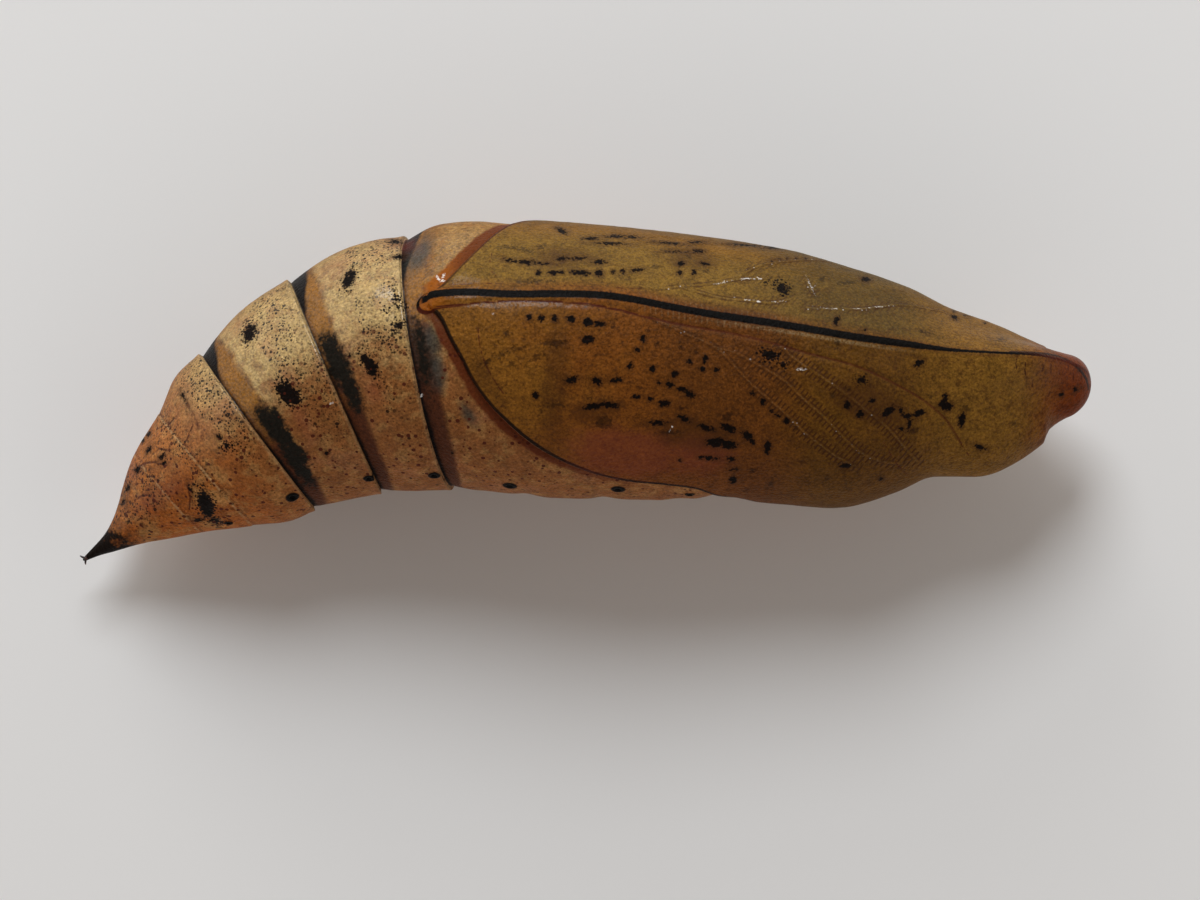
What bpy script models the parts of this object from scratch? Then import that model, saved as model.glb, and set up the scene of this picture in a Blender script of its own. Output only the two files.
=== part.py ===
"""A dry moth pupa, lying on its back and rolled a little to one side.

The pupa grew as one rigid piece, so it is one solid: a body swept along a bent spine, with the ledges of
the abdomen, the raised wing cases, the keel of the tongue and antennae, and the pointed tail.

Sizes are in millimetres here and are turned into metres when the mesh is made. +X points to the head,
+Z is up, and the abdomen bends towards -Y. Angles round the body are in degrees from the middle of the
belly, which faces up: positive angles come down on the -Y side.
"""

import math

import bmesh
import bpy
import numpy as np
from mathutils import Vector

MM = 0.001

# The underside is flat where it lies on the table, to this depth above its lowest point.
FLAT_DEPTH = 0.15

# Mesh density: rings along the body, and columns round half of it.
RING_SPACING = 0.31
WING_COLUMNS = 9
BACK_COLUMNS = 12

# Cross-sections from the tail's tip to the front of the head:
# spine x, spine y, spine height, half width, depth to the belly, depth to the back, keel
SECTIONS = (
    (-11.90, -4.00, 1.30, 0.04, 0.04, 0.04, 0.00),
    (-11.60, -3.80, 1.42, 0.12, 0.12, 0.12, 0.00),
    (-11.22, -3.57, 1.55, 0.25, 0.25, 0.25, 0.00),
    (-10.78, -3.21, 1.68, 0.50, 0.50, 0.50, 0.00),
    (-10.40, -2.86, 1.79, 0.82, 0.81, 0.81, 0.00),
    (-9.98, -2.49, 1.90, 1.15, 1.13, 1.13, 0.00),
    (-8.94, -1.84, 2.18, 1.75, 1.73, 1.73, 0.00),
    (-8.30, -1.35, 2.31, 2.21, 2.10, 2.08, 0.00),
    (-7.70, -0.94, 2.42, 2.32, 2.28, 2.26, 0.00),
    (-6.80, -0.32, 2.56, 2.60, 2.56, 2.52, 0.00),
    (-5.86, 0.12, 2.68, 2.78, 2.74, 2.68, 0.00),
    (-4.80, 0.49, 2.80, 3.00, 2.96, 2.82, 0.00),
    (-4.25, 0.60, 2.85, 3.05, 3.03, 2.88, 0.00),
    (-3.65, 0.66, 2.90, 3.06, 3.10, 2.92, 0.01),
    (-3.10, 0.78, 2.96, 3.20, 3.22, 2.95, 0.02),
    (-2.60, 0.81, 3.00, 3.24, 3.30, 2.97, 0.03),
    (-1.45, 0.72, 3.04, 3.24, 3.38, 3.00, 0.04),
    (0.35, 0.62, 3.06, 3.20, 3.34, 3.02, 0.04),
    (2.70, 0.50, 3.04, 3.08, 2.92, 2.96, 0.04),
    (4.65, 0.36, 3.02, 2.88, 2.72, 3.00, 0.04),
    (6.35, 0.10, 2.98, 2.66, 2.62, 2.88, 0.05),
    (7.70, 0.08, 2.90, 2.23, 2.22, 2.36, 0.08),
    (8.60, 0.01, 2.84, 1.88, 2.12, 2.08, 0.11),
    (9.85, -0.09, 2.78, 1.48, 1.96, 1.66, 0.15),
    (10.70, -0.02, 2.74, 1.02, 1.64, 1.10, 0.16),
    (11.15, 0.08, 2.72, 0.74, 1.24, 0.78, 0.12),
    (11.52, 0.13, 2.72, 0.62, 0.92, 0.64, 0.08),
    (11.92, 0.17, 2.72, 0.56, 0.74, 0.56, 0.05),
)
# At each spine x: the way a section faces, in degrees from +X, how far the middle of the belly is
# rolled from straight up towards +Y, and how far the section leans back to the tail.
SECTION_TURNS = (
    (-11.90, 38.0, 26.0, 0.0),
    (-8.94, 40.0, 26.0, 0.0),
    (-7.70, 36.5, 26.0, 0.0),
    (-5.86, 23.5, 26.0, 0.0),
    (-3.65, 10.5, 26.0, 6.5),
    (-1.45, 3.0, 25.5, 3.0),
    (0.35, 0.0, 27.0, 0.0),
    (2.70, -3.0, 25.0, 0.0),
    (4.65, -4.0, 23.5, 0.0),
    (6.35, -3.0, 24.0, 0.0),
    (8.60, -2.0, 25.0, 0.0),
    (10.30, -1.0, 29.0, 0.0),
    (11.92, 0.0, 29.0, 0.0),
)
HEAD_CAP = 0.50
TAIL_CAP = 0.05

# Where the spine's x is at each joint between abdomen rings, and how deep the joint is.
# In each one the ring in front slopes down to the joint and the ring behind stands up from it.
RING_JOINTS = (
    (-9.85, 0.02),
    (-8.94, 0.05),
    (-7.70, 0.11),
    (-5.86, 0.12),
    (-3.65, 0.12),
)
JOINT_SLOPE = 0.45
JOINT_RIM = 0.07
# Joints of the thorax and the front of the abdomen, which show only on the back.
BACK_JOINTS = (
    (-1.55, 0.06, 0.30),
    (0.45, 0.06, 0.30),
    (2.35, 0.04, 0.30),
    (3.50, 0.17, 0.55),
    (8.10, 0.08, 0.40),
)
BACK_JOINT_FROM = 88.0

# The wing case's free edge, from its tip at the belly's midline round to its root: spine x, angle.
WING_EDGE = (
    (-3.10, 3.0),
    (-2.98, 6.0),
    (-2.86, 10.0),
    (-2.73, 17.5),
    (-2.54, 26.0),
    (-2.38, 34.0),
    (-2.12, 43.0),
    (-1.72, 52.0),
    (-1.28, 60.0),
    (-0.68, 68.5),
    (-0.20, 74.0),
    (0.36, 79.0),
    (1.00, 82.0),
    (2.00, 84.0),
    (2.84, 87.5),
    (3.40, 96.0),
    (4.20, 107.0),
    (5.60, 116.0),
    (7.20, 120.0),
    (8.60, 120.0),
)
WING_TIP_X = -3.17
WING_RAISE = 0.13
WING_FADE_FROM = 7.4
WING_FADE_TO = 8.6
EDGE_WIDTH = 0.10

# The keel down the belly: the cases of the tongue, which ends in a blunt point past the wing tips.
KEEL_END_X = -3.38
KEEL_RAISE = 0.07
KEEL_HALF_WIDTH = 0.17

# Shoulders at the roots of the wings, which step down to the narrower head.
SHOULDER_FRONT_X = 10.93
SHOULDER_STEP = 0.12
SHOULDER_FROM_X = 8.00
SHOULDER_FULL_X = 9.60
SHOULDER_ANGLE = 112.0
SHOULDER_SPREAD = 42.0
SHOULDER_RAISE = 0.20


def smooth_curve(knots, values, at):
    """Cubic curve through (knots, values), read at each place in at."""
    knots = np.asarray(knots, float)
    values = np.asarray(values, float)
    slopes = np.gradient(values, knots)
    i = np.clip(np.searchsorted(knots, at) - 1, 0, len(knots) - 2)
    gap = knots[i + 1] - knots[i]
    t = np.clip((at - knots[i]) / gap, 0.0, 1.0)
    start = (1 + 2 * t) * (1 - t) ** 2 * values[i]
    end = t * t * (3 - 2 * t) * values[i + 1]
    bend = gap * t * (1 - t) * ((1 - t) * slopes[i] - t * slopes[i + 1])
    return start + end + bend


def ramp(low, high, x):
    """0 below low, 1 above high, and smooth between."""
    t = np.clip((x - low) / (high - low), 0.0, 1.0)
    return t * t * (3 - 2 * t)


class Spine:
    """The sections, laid out by the distance along the spine from the tail's tip."""

    def __init__(self):
        table = np.array(SECTIONS)
        steps = np.linalg.norm(np.diff(table[:, :2], axis=0), axis=1)
        self.knots = np.concatenate([[0.0], np.cumsum(steps)])
        self.columns = table.T
        self.length = self.knots[-1]

    def value(self, column, s):
        return smooth_curve(self.knots, self.columns[column], s)

    def at_x(self, x):
        """Distance along the spine where its x is x."""
        return np.interp(x, self.columns[0], self.knots)

    def frame(self, s):
        """Spine point, the section's side and up directions, and its roll, at each s."""
        point = np.stack([self.value(c, s) for c in (0, 1, 2)], axis=-1)
        turns = np.array(SECTION_TURNS).T
        knots = self.at_x(turns[0])
        heading, roll, lean = (np.radians(smooth_curve(knots, column, s)) for column in turns[1:])
        side = np.stack([-np.sin(heading), np.cos(heading), np.zeros_like(s)], axis=-1)
        level = -np.sin(lean)
        up = np.stack([level * np.cos(heading), level * np.sin(heading), np.cos(lean)], axis=-1)
        return point, side, up, roll


SPINE = Spine()


def wing_angle(s):
    """Angle of the wing case's free edge at s, which is 0 behind its tip."""
    knots = SPINE.at_x([x for x, _ in WING_EDGE])
    angles = [angle for _, angle in WING_EDGE]
    return smooth_curve(knots, angles, np.clip(s, knots[0], knots[-1]))


def section_radius(s, angle):
    """Radius of the plain body, before its relief."""
    width, belly, back, keel = (SPINE.value(c, s) for c in (3, 4, 5, 6))
    turn = np.radians(angle)
    depth = np.where(angle < 90.0, belly, back)
    round_part = depth * width / np.hypot(depth * np.sin(turn), width * np.cos(turn))
    flank = np.where(angle < 90.0, np.sin(turn) * np.cos(turn) ** 2 / 0.385, 0.0)
    return round_part * (1.0 - keel * flank)


def joint_relief(s, angle):
    """The ledges between the abdomen's rings, and the shallower joints across the back."""
    total = np.zeros_like(s)
    for x, depth in RING_JOINTS:
        ahead = s - SPINE.at_x(x)
        slope = np.exp(-np.maximum(ahead, 0.0) / JOINT_SLOPE)
        total -= depth * np.where(ahead >= 0.0, slope, 1.0 - ramp(0.0, JOINT_RIM, -ahead))
    on_back = ramp(BACK_JOINT_FROM, BACK_JOINT_FROM + 25.0, angle)
    for x, depth, reach in BACK_JOINTS:
        away = (s - SPINE.at_x(x)) / reach
        total -= depth * on_back * np.exp(-away * away)
    return total


def wing_relief(s, angle, radius):
    """The wing case's thickness over the body, which drops away at its free edge and fades at the head."""
    inside = np.radians(wing_angle(s) - angle) * radius
    from_tip = ramp(SPINE.at_x(WING_TIP_X), SPINE.at_x(WING_TIP_X) + 0.1, s)
    to_head = ramp(SPINE.at_x(WING_FADE_FROM), SPINE.at_x(WING_FADE_TO), s)
    return WING_RAISE * from_tip * (ramp(-EDGE_WIDTH, 0.0, inside) * (1.0 - to_head) + 0.5 * to_head)


def keel_relief(s, angle, radius):
    """The narrow raised keel, with a blunt end past the wing tips."""
    across = np.radians(angle) * radius / KEEL_HALF_WIDTH
    past_end = np.minimum(s - SPINE.at_x(KEEL_END_X) - KEEL_HALF_WIDTH, 0.0) / KEEL_HALF_WIDTH
    away = np.hypot(across, past_end)
    return KEEL_RAISE * (1.0 - ramp(0.55, 1.15, away))


def shoulder_relief(s, angle):
    front = SPINE.at_x(SHOULDER_FRONT_X)
    grown = ramp(SPINE.at_x(SHOULDER_FROM_X), SPINE.at_x(SHOULDER_FULL_X), s)
    turn = (angle - SHOULDER_ANGLE) / SHOULDER_SPREAD
    return SHOULDER_RAISE * grown * (1.0 - ramp(front - SHOULDER_STEP, front, s)) * np.exp(-turn * turn)


def end_caps(s):
    """Rounds off the head and the tail's tip."""
    head = np.clip((s - (SPINE.length - HEAD_CAP)) / HEAD_CAP, 0.0, 1.0)
    tail = np.clip((TAIL_CAP - s) / TAIL_CAP, 0.0, 1.0)
    return np.sqrt(1.0 - head * head) * np.sqrt(1.0 - tail * tail)


def surface(s, turn):
    """Points of the skin in millimetres, at distance s along the spine and turn degrees round it."""
    angle = np.abs(turn)
    radius = section_radius(s, angle)
    radius = radius + joint_relief(s, angle) * ramp(0.0, 0.6, radius)
    radius = radius + wing_relief(s, angle, radius)
    radius = radius + keel_relief(s, angle, radius)
    radius = radius + shoulder_relief(s, angle)
    radius = radius * end_caps(s)
    point, side, up, roll = SPINE.frame(s)
    from_up = (roll - np.radians(turn))[..., None]
    return point + radius[..., None] * (np.cos(from_up) * up + np.sin(from_up) * side)


def ring_places():
    """Distances along the spine of the mesh's rings, closer at the joints and the round ends."""
    places = set(np.linspace(0.6, SPINE.length - HEAD_CAP, round(SPINE.length / RING_SPACING)))
    for x, _ in RING_JOINTS:
        joint = float(SPINE.at_x(x))
        places = {p for p in places if not joint - 0.14 < p < joint + 0.2}
        places |= {joint - 0.2, joint - JOINT_RIM, joint, joint + 0.12, joint + 0.3}
    shoulder = float(SPINE.at_x(SHOULDER_FRONT_X))
    places |= {0.0, TAIL_CAP, 0.3, shoulder - SHOULDER_STEP, shoulder}
    places |= {SPINE.length - HEAD_CAP * (1.0 - math.sin(math.radians(a))) for a in (20, 40, 55, 70, 82, 90)}
    return np.array(sorted(places))


def column_angles(s):
    """Angles of the half ring's columns at s: two of them follow the wing case's edge."""
    knots = SPINE.at_x([-5.6, WING_EDGE[0][0], WING_EDGE[-1][0], 10.6])
    edge = float(wing_angle(s))
    if s < knots[1]:
        edge = 80.0 + (edge - 80.0) * float(ramp(knots[0], knots[1], s))
    if s > knots[2]:
        edge = 80.0 + (edge - 80.0) * float(1.0 - ramp(knots[2], knots[3], s))
    radius = float(section_radius(np.array(s), np.array(edge)))
    step = math.degrees(EDGE_WIDTH / max(radius, 0.7))
    keel = min(math.degrees(KEEL_HALF_WIDTH / max(radius, 0.7)), edge * 0.3)
    wing = np.linspace(keel, edge, WING_COLUMNS)
    back = np.linspace(edge + step, 180.0, BACK_COLUMNS)
    return np.concatenate([[0.0], wing, back])


def make_pupa():
    """A flat grid, wrapped round the spine ring by ring and closed at both ends."""
    rings = ring_places()
    half = WING_COLUMNS + BACK_COLUMNS
    bm = bmesh.new()
    bmesh.ops.create_grid(bm, x_segments=len(rings) - 1, y_segments=2 * half, size=0.5)
    angles = [column_angles(s) for s in rings]
    for vert in bm.verts:
        ring = round((vert.co.x + 0.5) * (len(rings) - 1))
        column = round((vert.co.y + 0.5) * 2 * half) - half
        turn = math.copysign(angles[ring][abs(column)], column)
        vert.co = Vector(surface(np.array(rings[ring]), np.array(turn)))
    bmesh.ops.remove_doubles(bm, verts=bm.verts, dist=0.0005)

    lowest = min(vert.co.z for vert in bm.verts) + FLAT_DEPTH
    for vert in bm.verts:
        vert.co.z = max(vert.co.z, lowest)
    low = [min(vert.co[i] for vert in bm.verts) for i in range(3)]
    high = [max(vert.co[i] for vert in bm.verts) for i in range(3)]
    centre = Vector(((low[0] + high[0]) / 2, (low[1] + high[1]) / 2, low[2]))
    bmesh.ops.translate(bm, verts=bm.verts, vec=-centre)
    bmesh.ops.scale(bm, verts=bm.verts, vec=(MM, MM, MM))
    bmesh.ops.triangulate(bm, faces=bm.faces)
    bmesh.ops.recalc_face_normals(bm, faces=bm.faces)

    mesh = bpy.data.meshes.new("pupa")
    bm.to_mesh(mesh)
    bm.free()
    mesh.shade_smooth()
    mesh.set_sharp_from_angle(angle=math.radians(40))
    pupa = bpy.data.objects.new("pupa", mesh)
    bpy.context.scene.collection.objects.link(pupa)
    return pupa


def shell_material():
    material = bpy.data.materials.new("pupa_shell")
    material.use_nodes = True
    shader = material.node_tree.nodes["Principled BSDF"]
    shader.inputs["Base Color"].default_value = (0.15, 0.075, 0.025, 1.0)
    shader.inputs["Roughness"].default_value = 0.45
    shader.inputs["Metallic"].default_value = 0.0
    return material


def main():
    for old in list(bpy.data.objects):
        bpy.data.objects.remove(old)
    pupa = make_pupa()
    pupa.data.materials.append(shell_material())


main()
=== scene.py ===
import math

import bmesh
import bpy
import numpy as np
from mathutils import Matrix, Vector, noise
from mathutils.bvhtree import BVHTree


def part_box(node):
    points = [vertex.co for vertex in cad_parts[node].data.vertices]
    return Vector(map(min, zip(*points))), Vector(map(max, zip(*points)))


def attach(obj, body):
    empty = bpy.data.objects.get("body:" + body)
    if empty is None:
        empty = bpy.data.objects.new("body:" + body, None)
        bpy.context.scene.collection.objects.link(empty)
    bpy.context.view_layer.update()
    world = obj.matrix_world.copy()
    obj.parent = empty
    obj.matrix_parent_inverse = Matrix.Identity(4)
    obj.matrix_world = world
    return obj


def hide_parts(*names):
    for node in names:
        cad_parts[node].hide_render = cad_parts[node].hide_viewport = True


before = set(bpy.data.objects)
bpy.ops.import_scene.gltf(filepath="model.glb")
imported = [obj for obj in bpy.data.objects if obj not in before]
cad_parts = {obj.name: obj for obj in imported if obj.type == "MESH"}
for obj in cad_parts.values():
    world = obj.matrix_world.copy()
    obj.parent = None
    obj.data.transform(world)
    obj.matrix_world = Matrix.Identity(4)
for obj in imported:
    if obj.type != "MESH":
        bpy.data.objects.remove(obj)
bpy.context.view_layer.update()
print("stage 1: frame loaded")

mm = 0.001  # the pupa is worked out in millimetres, and its finished meshes are in metres

# The same form as the CAD solid: +X to the head, +Z up, the abdomen bent towards -Y.
# A turn is in degrees round the body from the middle of the belly, positive on the -Y side.
body = {
    # spine x, spine y, spine height, half width, depth to the belly, depth to the back, keel
    "sections": (
        (-11.90, -4.00, 1.30, 0.04, 0.04, 0.04, 0.00),
        (-11.60, -3.80, 1.42, 0.12, 0.12, 0.12, 0.00),
        (-11.22, -3.57, 1.55, 0.25, 0.25, 0.25, 0.00),
        (-10.78, -3.21, 1.68, 0.50, 0.50, 0.50, 0.00),
        (-10.40, -2.86, 1.79, 0.82, 0.81, 0.81, 0.00),
        (-9.98, -2.49, 1.90, 1.15, 1.13, 1.13, 0.00),
        (-8.94, -1.84, 2.18, 1.75, 1.73, 1.73, 0.00),
        (-8.30, -1.35, 2.31, 2.21, 2.10, 2.08, 0.00),
        (-7.70, -0.94, 2.42, 2.32, 2.28, 2.26, 0.00),
        (-6.80, -0.32, 2.56, 2.60, 2.56, 2.52, 0.00),
        (-5.86, 0.12, 2.68, 2.78, 2.74, 2.68, 0.00),
        (-4.80, 0.49, 2.80, 3.00, 2.96, 2.82, 0.00),
        (-4.25, 0.60, 2.85, 3.05, 3.03, 2.88, 0.00),
        (-3.65, 0.66, 2.90, 3.06, 3.10, 2.92, 0.01),
        (-3.10, 0.78, 2.96, 3.20, 3.22, 2.95, 0.02),
        (-2.60, 0.81, 3.00, 3.24, 3.30, 2.97, 0.03),
        (-1.45, 0.72, 3.04, 3.24, 3.38, 3.00, 0.04),
        (0.35, 0.62, 3.06, 3.20, 3.34, 3.02, 0.04),
        (2.70, 0.50, 3.04, 3.08, 2.92, 2.96, 0.04),
        (4.65, 0.36, 3.02, 2.88, 2.72, 3.00, 0.04),
        (6.35, 0.10, 2.98, 2.66, 2.62, 2.88, 0.05),
        (7.70, 0.08, 2.90, 2.23, 2.22, 2.36, 0.08),
        (8.60, 0.01, 2.84, 1.88, 2.12, 2.08, 0.11),
        (9.85, -0.09, 2.78, 1.48, 1.96, 1.66, 0.15),
        (10.70, -0.02, 2.74, 1.02, 1.64, 1.10, 0.16),
        (11.15, 0.08, 2.72, 0.74, 1.24, 0.78, 0.12),
        (11.52, 0.13, 2.72, 0.62, 0.92, 0.64, 0.08),
        (11.92, 0.17, 2.72, 0.56, 0.74, 0.56, 0.05),
    ),
    # spine x, the way the section faces, its roll towards +Y, its lean back to the tail
    "turns": (
        (-11.90, 38.0, 26.0, 0.0),
        (-8.94, 40.0, 26.0, 0.0),
        (-7.70, 36.5, 26.0, 0.0),
        (-5.86, 23.5, 26.0, 0.0),
        (-3.65, 10.5, 26.0, 6.5),
        (-1.45, 3.0, 25.5, 3.0),
        (0.35, 0.0, 27.0, 0.0),
        (2.70, -3.0, 25.0, 0.0),
        (4.65, -4.0, 23.5, 0.0),
        (6.35, -3.0, 24.0, 0.0),
        (8.60, -2.0, 25.0, 0.0),
        (10.30, -1.0, 29.0, 0.0),
        (11.92, 0.0, 29.0, 0.0),
    ),
    "headCap": 0.50,
    "tailCap": 0.05,
    # spine x and depth of each ledge between rings, from the tail
    "joints": ((-9.85, 0.004), (-8.94, 0.018), (-7.70, 0.11), (-5.86, 0.12), (-3.65, 0.12)),
    "jointSlope": 0.45,
    "jointRim": 0.055,
    "rimLip": 0.007,
    # spine x, depth and reach of the joints that show only on the back
    "backJoints": (
        (-1.55, 0.06, 0.30), (0.45, 0.06, 0.30), (2.35, 0.04, 0.30), (3.50, 0.17, 0.55), (8.10, 0.08, 0.40),
    ),
    "backFrom": 88.0,
    "shoulderFront": 10.93,
    "shoulderStep": 0.12,
    "shoulderFrom": 8.00,
    "shoulderFull": 9.60,
    "shoulderTurn": 112.0,
    "shoulderSpread": 42.0,
    "shoulderRaise": 0.20,
}

wing = {
    # the free edge of the near wing case, from its tip round to its root: spine x, turn
    "edge": (
        (-3.10, 3.0), (-2.98, 6.0), (-2.86, 10.0), (-2.73, 17.5), (-2.54, 26.0), (-2.38, 34.0),
        (-2.12, 43.0), (-1.72, 52.0), (-1.28, 60.0), (-0.68, 68.5), (-0.20, 74.0), (0.36, 79.0),
        (1.00, 82.0), (2.00, 84.0),
        (2.84, 87.5), (3.40, 96.0), (4.20, 107.0), (5.60, 116.0), (7.20, 120.0), (8.60, 120.0),
    ),
    # and of the far one
    "farEdge": (
        (-3.10, 1.5), (-2.90, 3.5), (-2.72, 6.7), (-2.46, 13.2), (-2.09, 25.0), (-1.78, 38.2), (-1.50, 50.0),
        (-1.20, 59.0), (-0.68, 67.0), (-0.20, 73.0), (0.36, 78.5), (1.00, 82.0), (2.00, 84.0),
        (2.84, 87.5), (3.40, 96.0), (4.20, 107.0), (5.60, 116.0), (7.20, 120.0), (8.60, 120.0),
    ),
    "tip": -3.17,
    "raise": 0.13,
    "fadeFrom": 7.4,
    "fadeTo": 8.6,
    "lipWidth": 0.10,
    "gutter": 0.035,  # depth of the crease along the outside of the free edge
}

# The keel between the wing cases is a low ridge under the black stripe, with a wider blunt tip.
keel = {
    "end": -3.38,
    "ridge": 0.008,
    "stripe": 0.092,  # half width of the stripe
    "tipAside": 0.07,  # how far the tip stands to the -Y side of the stripe
    "tipHalfWidth": 0.26,
    "tipRaise": 0.060,
    "tipFade": (-3.10, -2.10),
}


def smoothCurve(knots, values, at):
    knots, values = np.asarray(knots, float), np.asarray(values, float)
    slopes = np.gradient(values, knots)
    i = np.clip(np.searchsorted(knots, at) - 1, 0, len(knots) - 2)
    gap = knots[i + 1] - knots[i]
    t = np.clip((at - knots[i]) / gap, 0.0, 1.0)
    start = (1 + 2 * t) * (1 - t) ** 2 * values[i]
    end = t * t * (3 - 2 * t) * values[i + 1]
    return start + end + gap * t * (1 - t) * ((1 - t) * slopes[i] - t * slopes[i + 1])


def ramp(low, high, x):
    t = np.clip((x - low) / (high - low), 0.0, 1.0)
    return t * t * (3 - 2 * t)


sectionColumns = np.array(body["sections"]).T
spineKnots = np.concatenate([[0.0], np.cumsum(np.hypot(*np.diff(sectionColumns[:2], axis=1)))])
spineLength = spineKnots[-1]


def alongAt(x):  # distance along the spine from the tail's tip, where the spine's x is x
    return np.interp(x, sectionColumns[0], spineKnots)


tipOfWing = alongAt(wing["tip"])
frontJoint = float(alongAt(body["joints"][-1][0]))


def edgeTurn(edge, s):
    knots = alongAt([x for x, _ in edge])
    return smoothCurve(knots, [turn for _, turn in edge], np.clip(s, knots[0], knots[-1]))


def wingTurn(s, side):  # how far round the free edge is, on the near side or the far one
    return np.where(side >= 0.0, edgeTurn(wing["edge"], s), edgeTurn(wing["farEdge"], s))


def plainRadius(s, angle):
    width, belly, back, pinch = (smoothCurve(spineKnots, sectionColumns[c], s) for c in (3, 4, 5, 6))
    turn = np.radians(angle)
    depth = np.where(angle < 90.0, belly, back)
    flank = np.where(angle < 90.0, np.sin(turn) * np.cos(turn) ** 2 / 0.385, 0.0)
    return depth * width / np.hypot(depth * np.sin(turn), width * np.cos(turn)) * (1.0 - pinch * flank)


def jointRelief(s, angle):
    total = np.zeros_like(s)
    for x, depth in body["joints"]:
        ahead = s - alongAt(x)
        slope = np.exp(-np.maximum(ahead, 0.0) / body["jointSlope"])
        total -= depth * np.where(ahead >= 0.0, slope, 1.0 - ramp(0.0, body["jointRim"], -ahead))
        lip = (ahead + 0.09) / 0.05  # the ring behind turns up a little at its rim
        total += body["rimLip"] * min(1.0, depth / 0.1) * np.exp(-lip * lip)
    onBack = ramp(body["backFrom"], body["backFrom"] + 25.0, angle)
    for x, depth, reach in body["backJoints"]:
        total -= depth * onBack * np.exp(-((s - alongAt(x)) / reach) ** 2)
    return total


def wingRelief(s, inside):  # inside is the distance from the free edge, in the wing case
    toHead = ramp(alongAt(wing["fadeFrom"]), alongAt(wing["fadeTo"]), s)
    fromTip = ramp(tipOfWing, tipOfWing + 0.1, s)
    case = ramp(-wing["lipWidth"], 0.0, inside) * (1.0 - toHead) + 0.5 * toHead
    return wing["raise"] * fromTip * case


def keelTip(s, across):  # distance inside the blunt tip's outline
    centre = alongAt(keel["end"]) + keel["tipHalfWidth"]
    return keel["tipHalfWidth"] - np.hypot(across - keel["tipAside"], np.minimum(s - centre, 0.0))


def keelRelief(s, turn, radius):
    across = np.radians(turn) * radius
    end = alongAt(keel["end"])
    ridge = keel["ridge"] * (1.0 - ramp(0.08, 0.34, np.abs(across))) * ramp(end, end + 0.15, s)
    fade = 1.0 - ramp(alongAt(keel["tipFade"][0]), alongAt(keel["tipFade"][1]), s)
    return ridge + keel["tipRaise"] * ramp(-0.01, 0.08, keelTip(s, across)) * fade


def shoulderRelief(s, angle):
    front = alongAt(body["shoulderFront"])
    grown = ramp(alongAt(body["shoulderFrom"]), alongAt(body["shoulderFull"]), s)
    spread = np.exp(-(((angle - body["shoulderTurn"]) / body["shoulderSpread"]) ** 2))
    return body["shoulderRaise"] * grown * (1.0 - ramp(front - body["shoulderStep"], front, s)) * spread


def skinPoint(s, turn, radius):
    point = np.stack([smoothCurve(spineKnots, sectionColumns[c], s) for c in (0, 1, 2)], axis=-1)
    turns = np.array(body["turns"]).T
    knots = alongAt(turns[0])
    heading, roll, lean = (np.radians(smoothCurve(knots, column, s)) for column in turns[1:])
    side = np.stack([-np.sin(heading), np.cos(heading), np.zeros_like(s)], axis=-1)
    level = -np.sin(lean)
    up = np.stack([level * np.cos(heading), level * np.sin(heading), np.cos(lean)], axis=-1)
    fromUp = (roll - np.radians(turn))[..., None]
    outward = np.cos(fromUp) * up + np.sin(fromUp) * side
    return point + radius[..., None] * outward, outward


def roundEnd(past):  # 1 where a rounded end starts to close, 0 at its pole
    return np.sqrt(1.0 - np.where(past > 0.9999, 1.0, np.clip(past, 0.0, 1.0)) ** 2)


def endCaps(s):
    head = (s - spineLength + body["headCap"]) / body["headCap"]
    tail = (body["tailCap"] - s) / body["tailCap"]
    return roundEnd(head) * roundEnd(tail)


def bareRadius(s, turn):
    angle = np.abs(turn)
    radius = plainRadius(s, angle)
    return radius + jointRelief(s, angle) * ramp(0.0, 0.6, radius)


def dressedRadius(s, turn, inside):
    angle = np.abs(turn)
    radius = bareRadius(s, turn)
    radius = radius + wingRelief(s, inside)
    radius = radius + keelRelief(s, turn, radius) + shoulderRelief(s, angle)
    return radius * endCaps(s)


def roughInside(s, turn):
    return np.radians(wingTurn(s, turn) - np.abs(turn)) * plainRadius(s, np.abs(turn))


# A coarse copy of the whole skin: it lines the pupa up with the CAD box, and marks are dropped onto it.
guideRings, guideColumns = 420, 241


def wholeSkin():
    rings, columns = np.linspace(0.0, spineLength, guideRings), np.linspace(-180.0, 180.0, guideColumns)
    s, turn = (part.ravel() for part in np.meshgrid(rings, columns, indexing="ij"))
    return skinPoint(s, turn, dressedRadius(s, turn, roughInside(s, turn)))[0]


guidePoints = wholeSkin()
boxLow, boxHigh = guidePoints.min(axis=0), guidePoints.max(axis=0)
nodeLow, nodeHigh = (np.array(corner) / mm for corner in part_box("pupa"))
shift = (nodeLow + nodeHigh) / 2 - (boxLow + boxHigh) / 2
shift[2] = nodeHigh[2] - boxHigh[2]


def flatGrid(rings, columns):
    bm = bmesh.new()
    bmesh.ops.create_grid(bm, x_segments=rings - 1, y_segments=columns - 1, size=0.5)
    places = [(round((v.co.x + 0.5) * (rings - 1)), round((v.co.y + 0.5) * (columns - 1))) for v in bm.verts]
    return bm, places


def guideTree():
    bm, places = flatGrid(guideRings, guideColumns)
    for vert, (ring, column) in zip(bm.verts, places):
        vert.co = Vector(guidePoints[ring * guideColumns + column] + shift)
    tree = BVHTree.FromBMesh(bm)
    bm.free()
    return tree


guide = guideTree()


def onBelly(x, y):  # the point of the skin under a place seen from straight above, and its normal
    point, normal, _, _ = guide.ray_cast(Vector((x, y, 20.0)), Vector((0.0, 0.0, -1.0)))
    if point is None:
        point, normal, _, _ = guide.find_nearest(Vector((x, y, 3.0)))
    if normal.z < 0.0:
        normal = -normal
    return np.array(point), np.array(normal)


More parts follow.
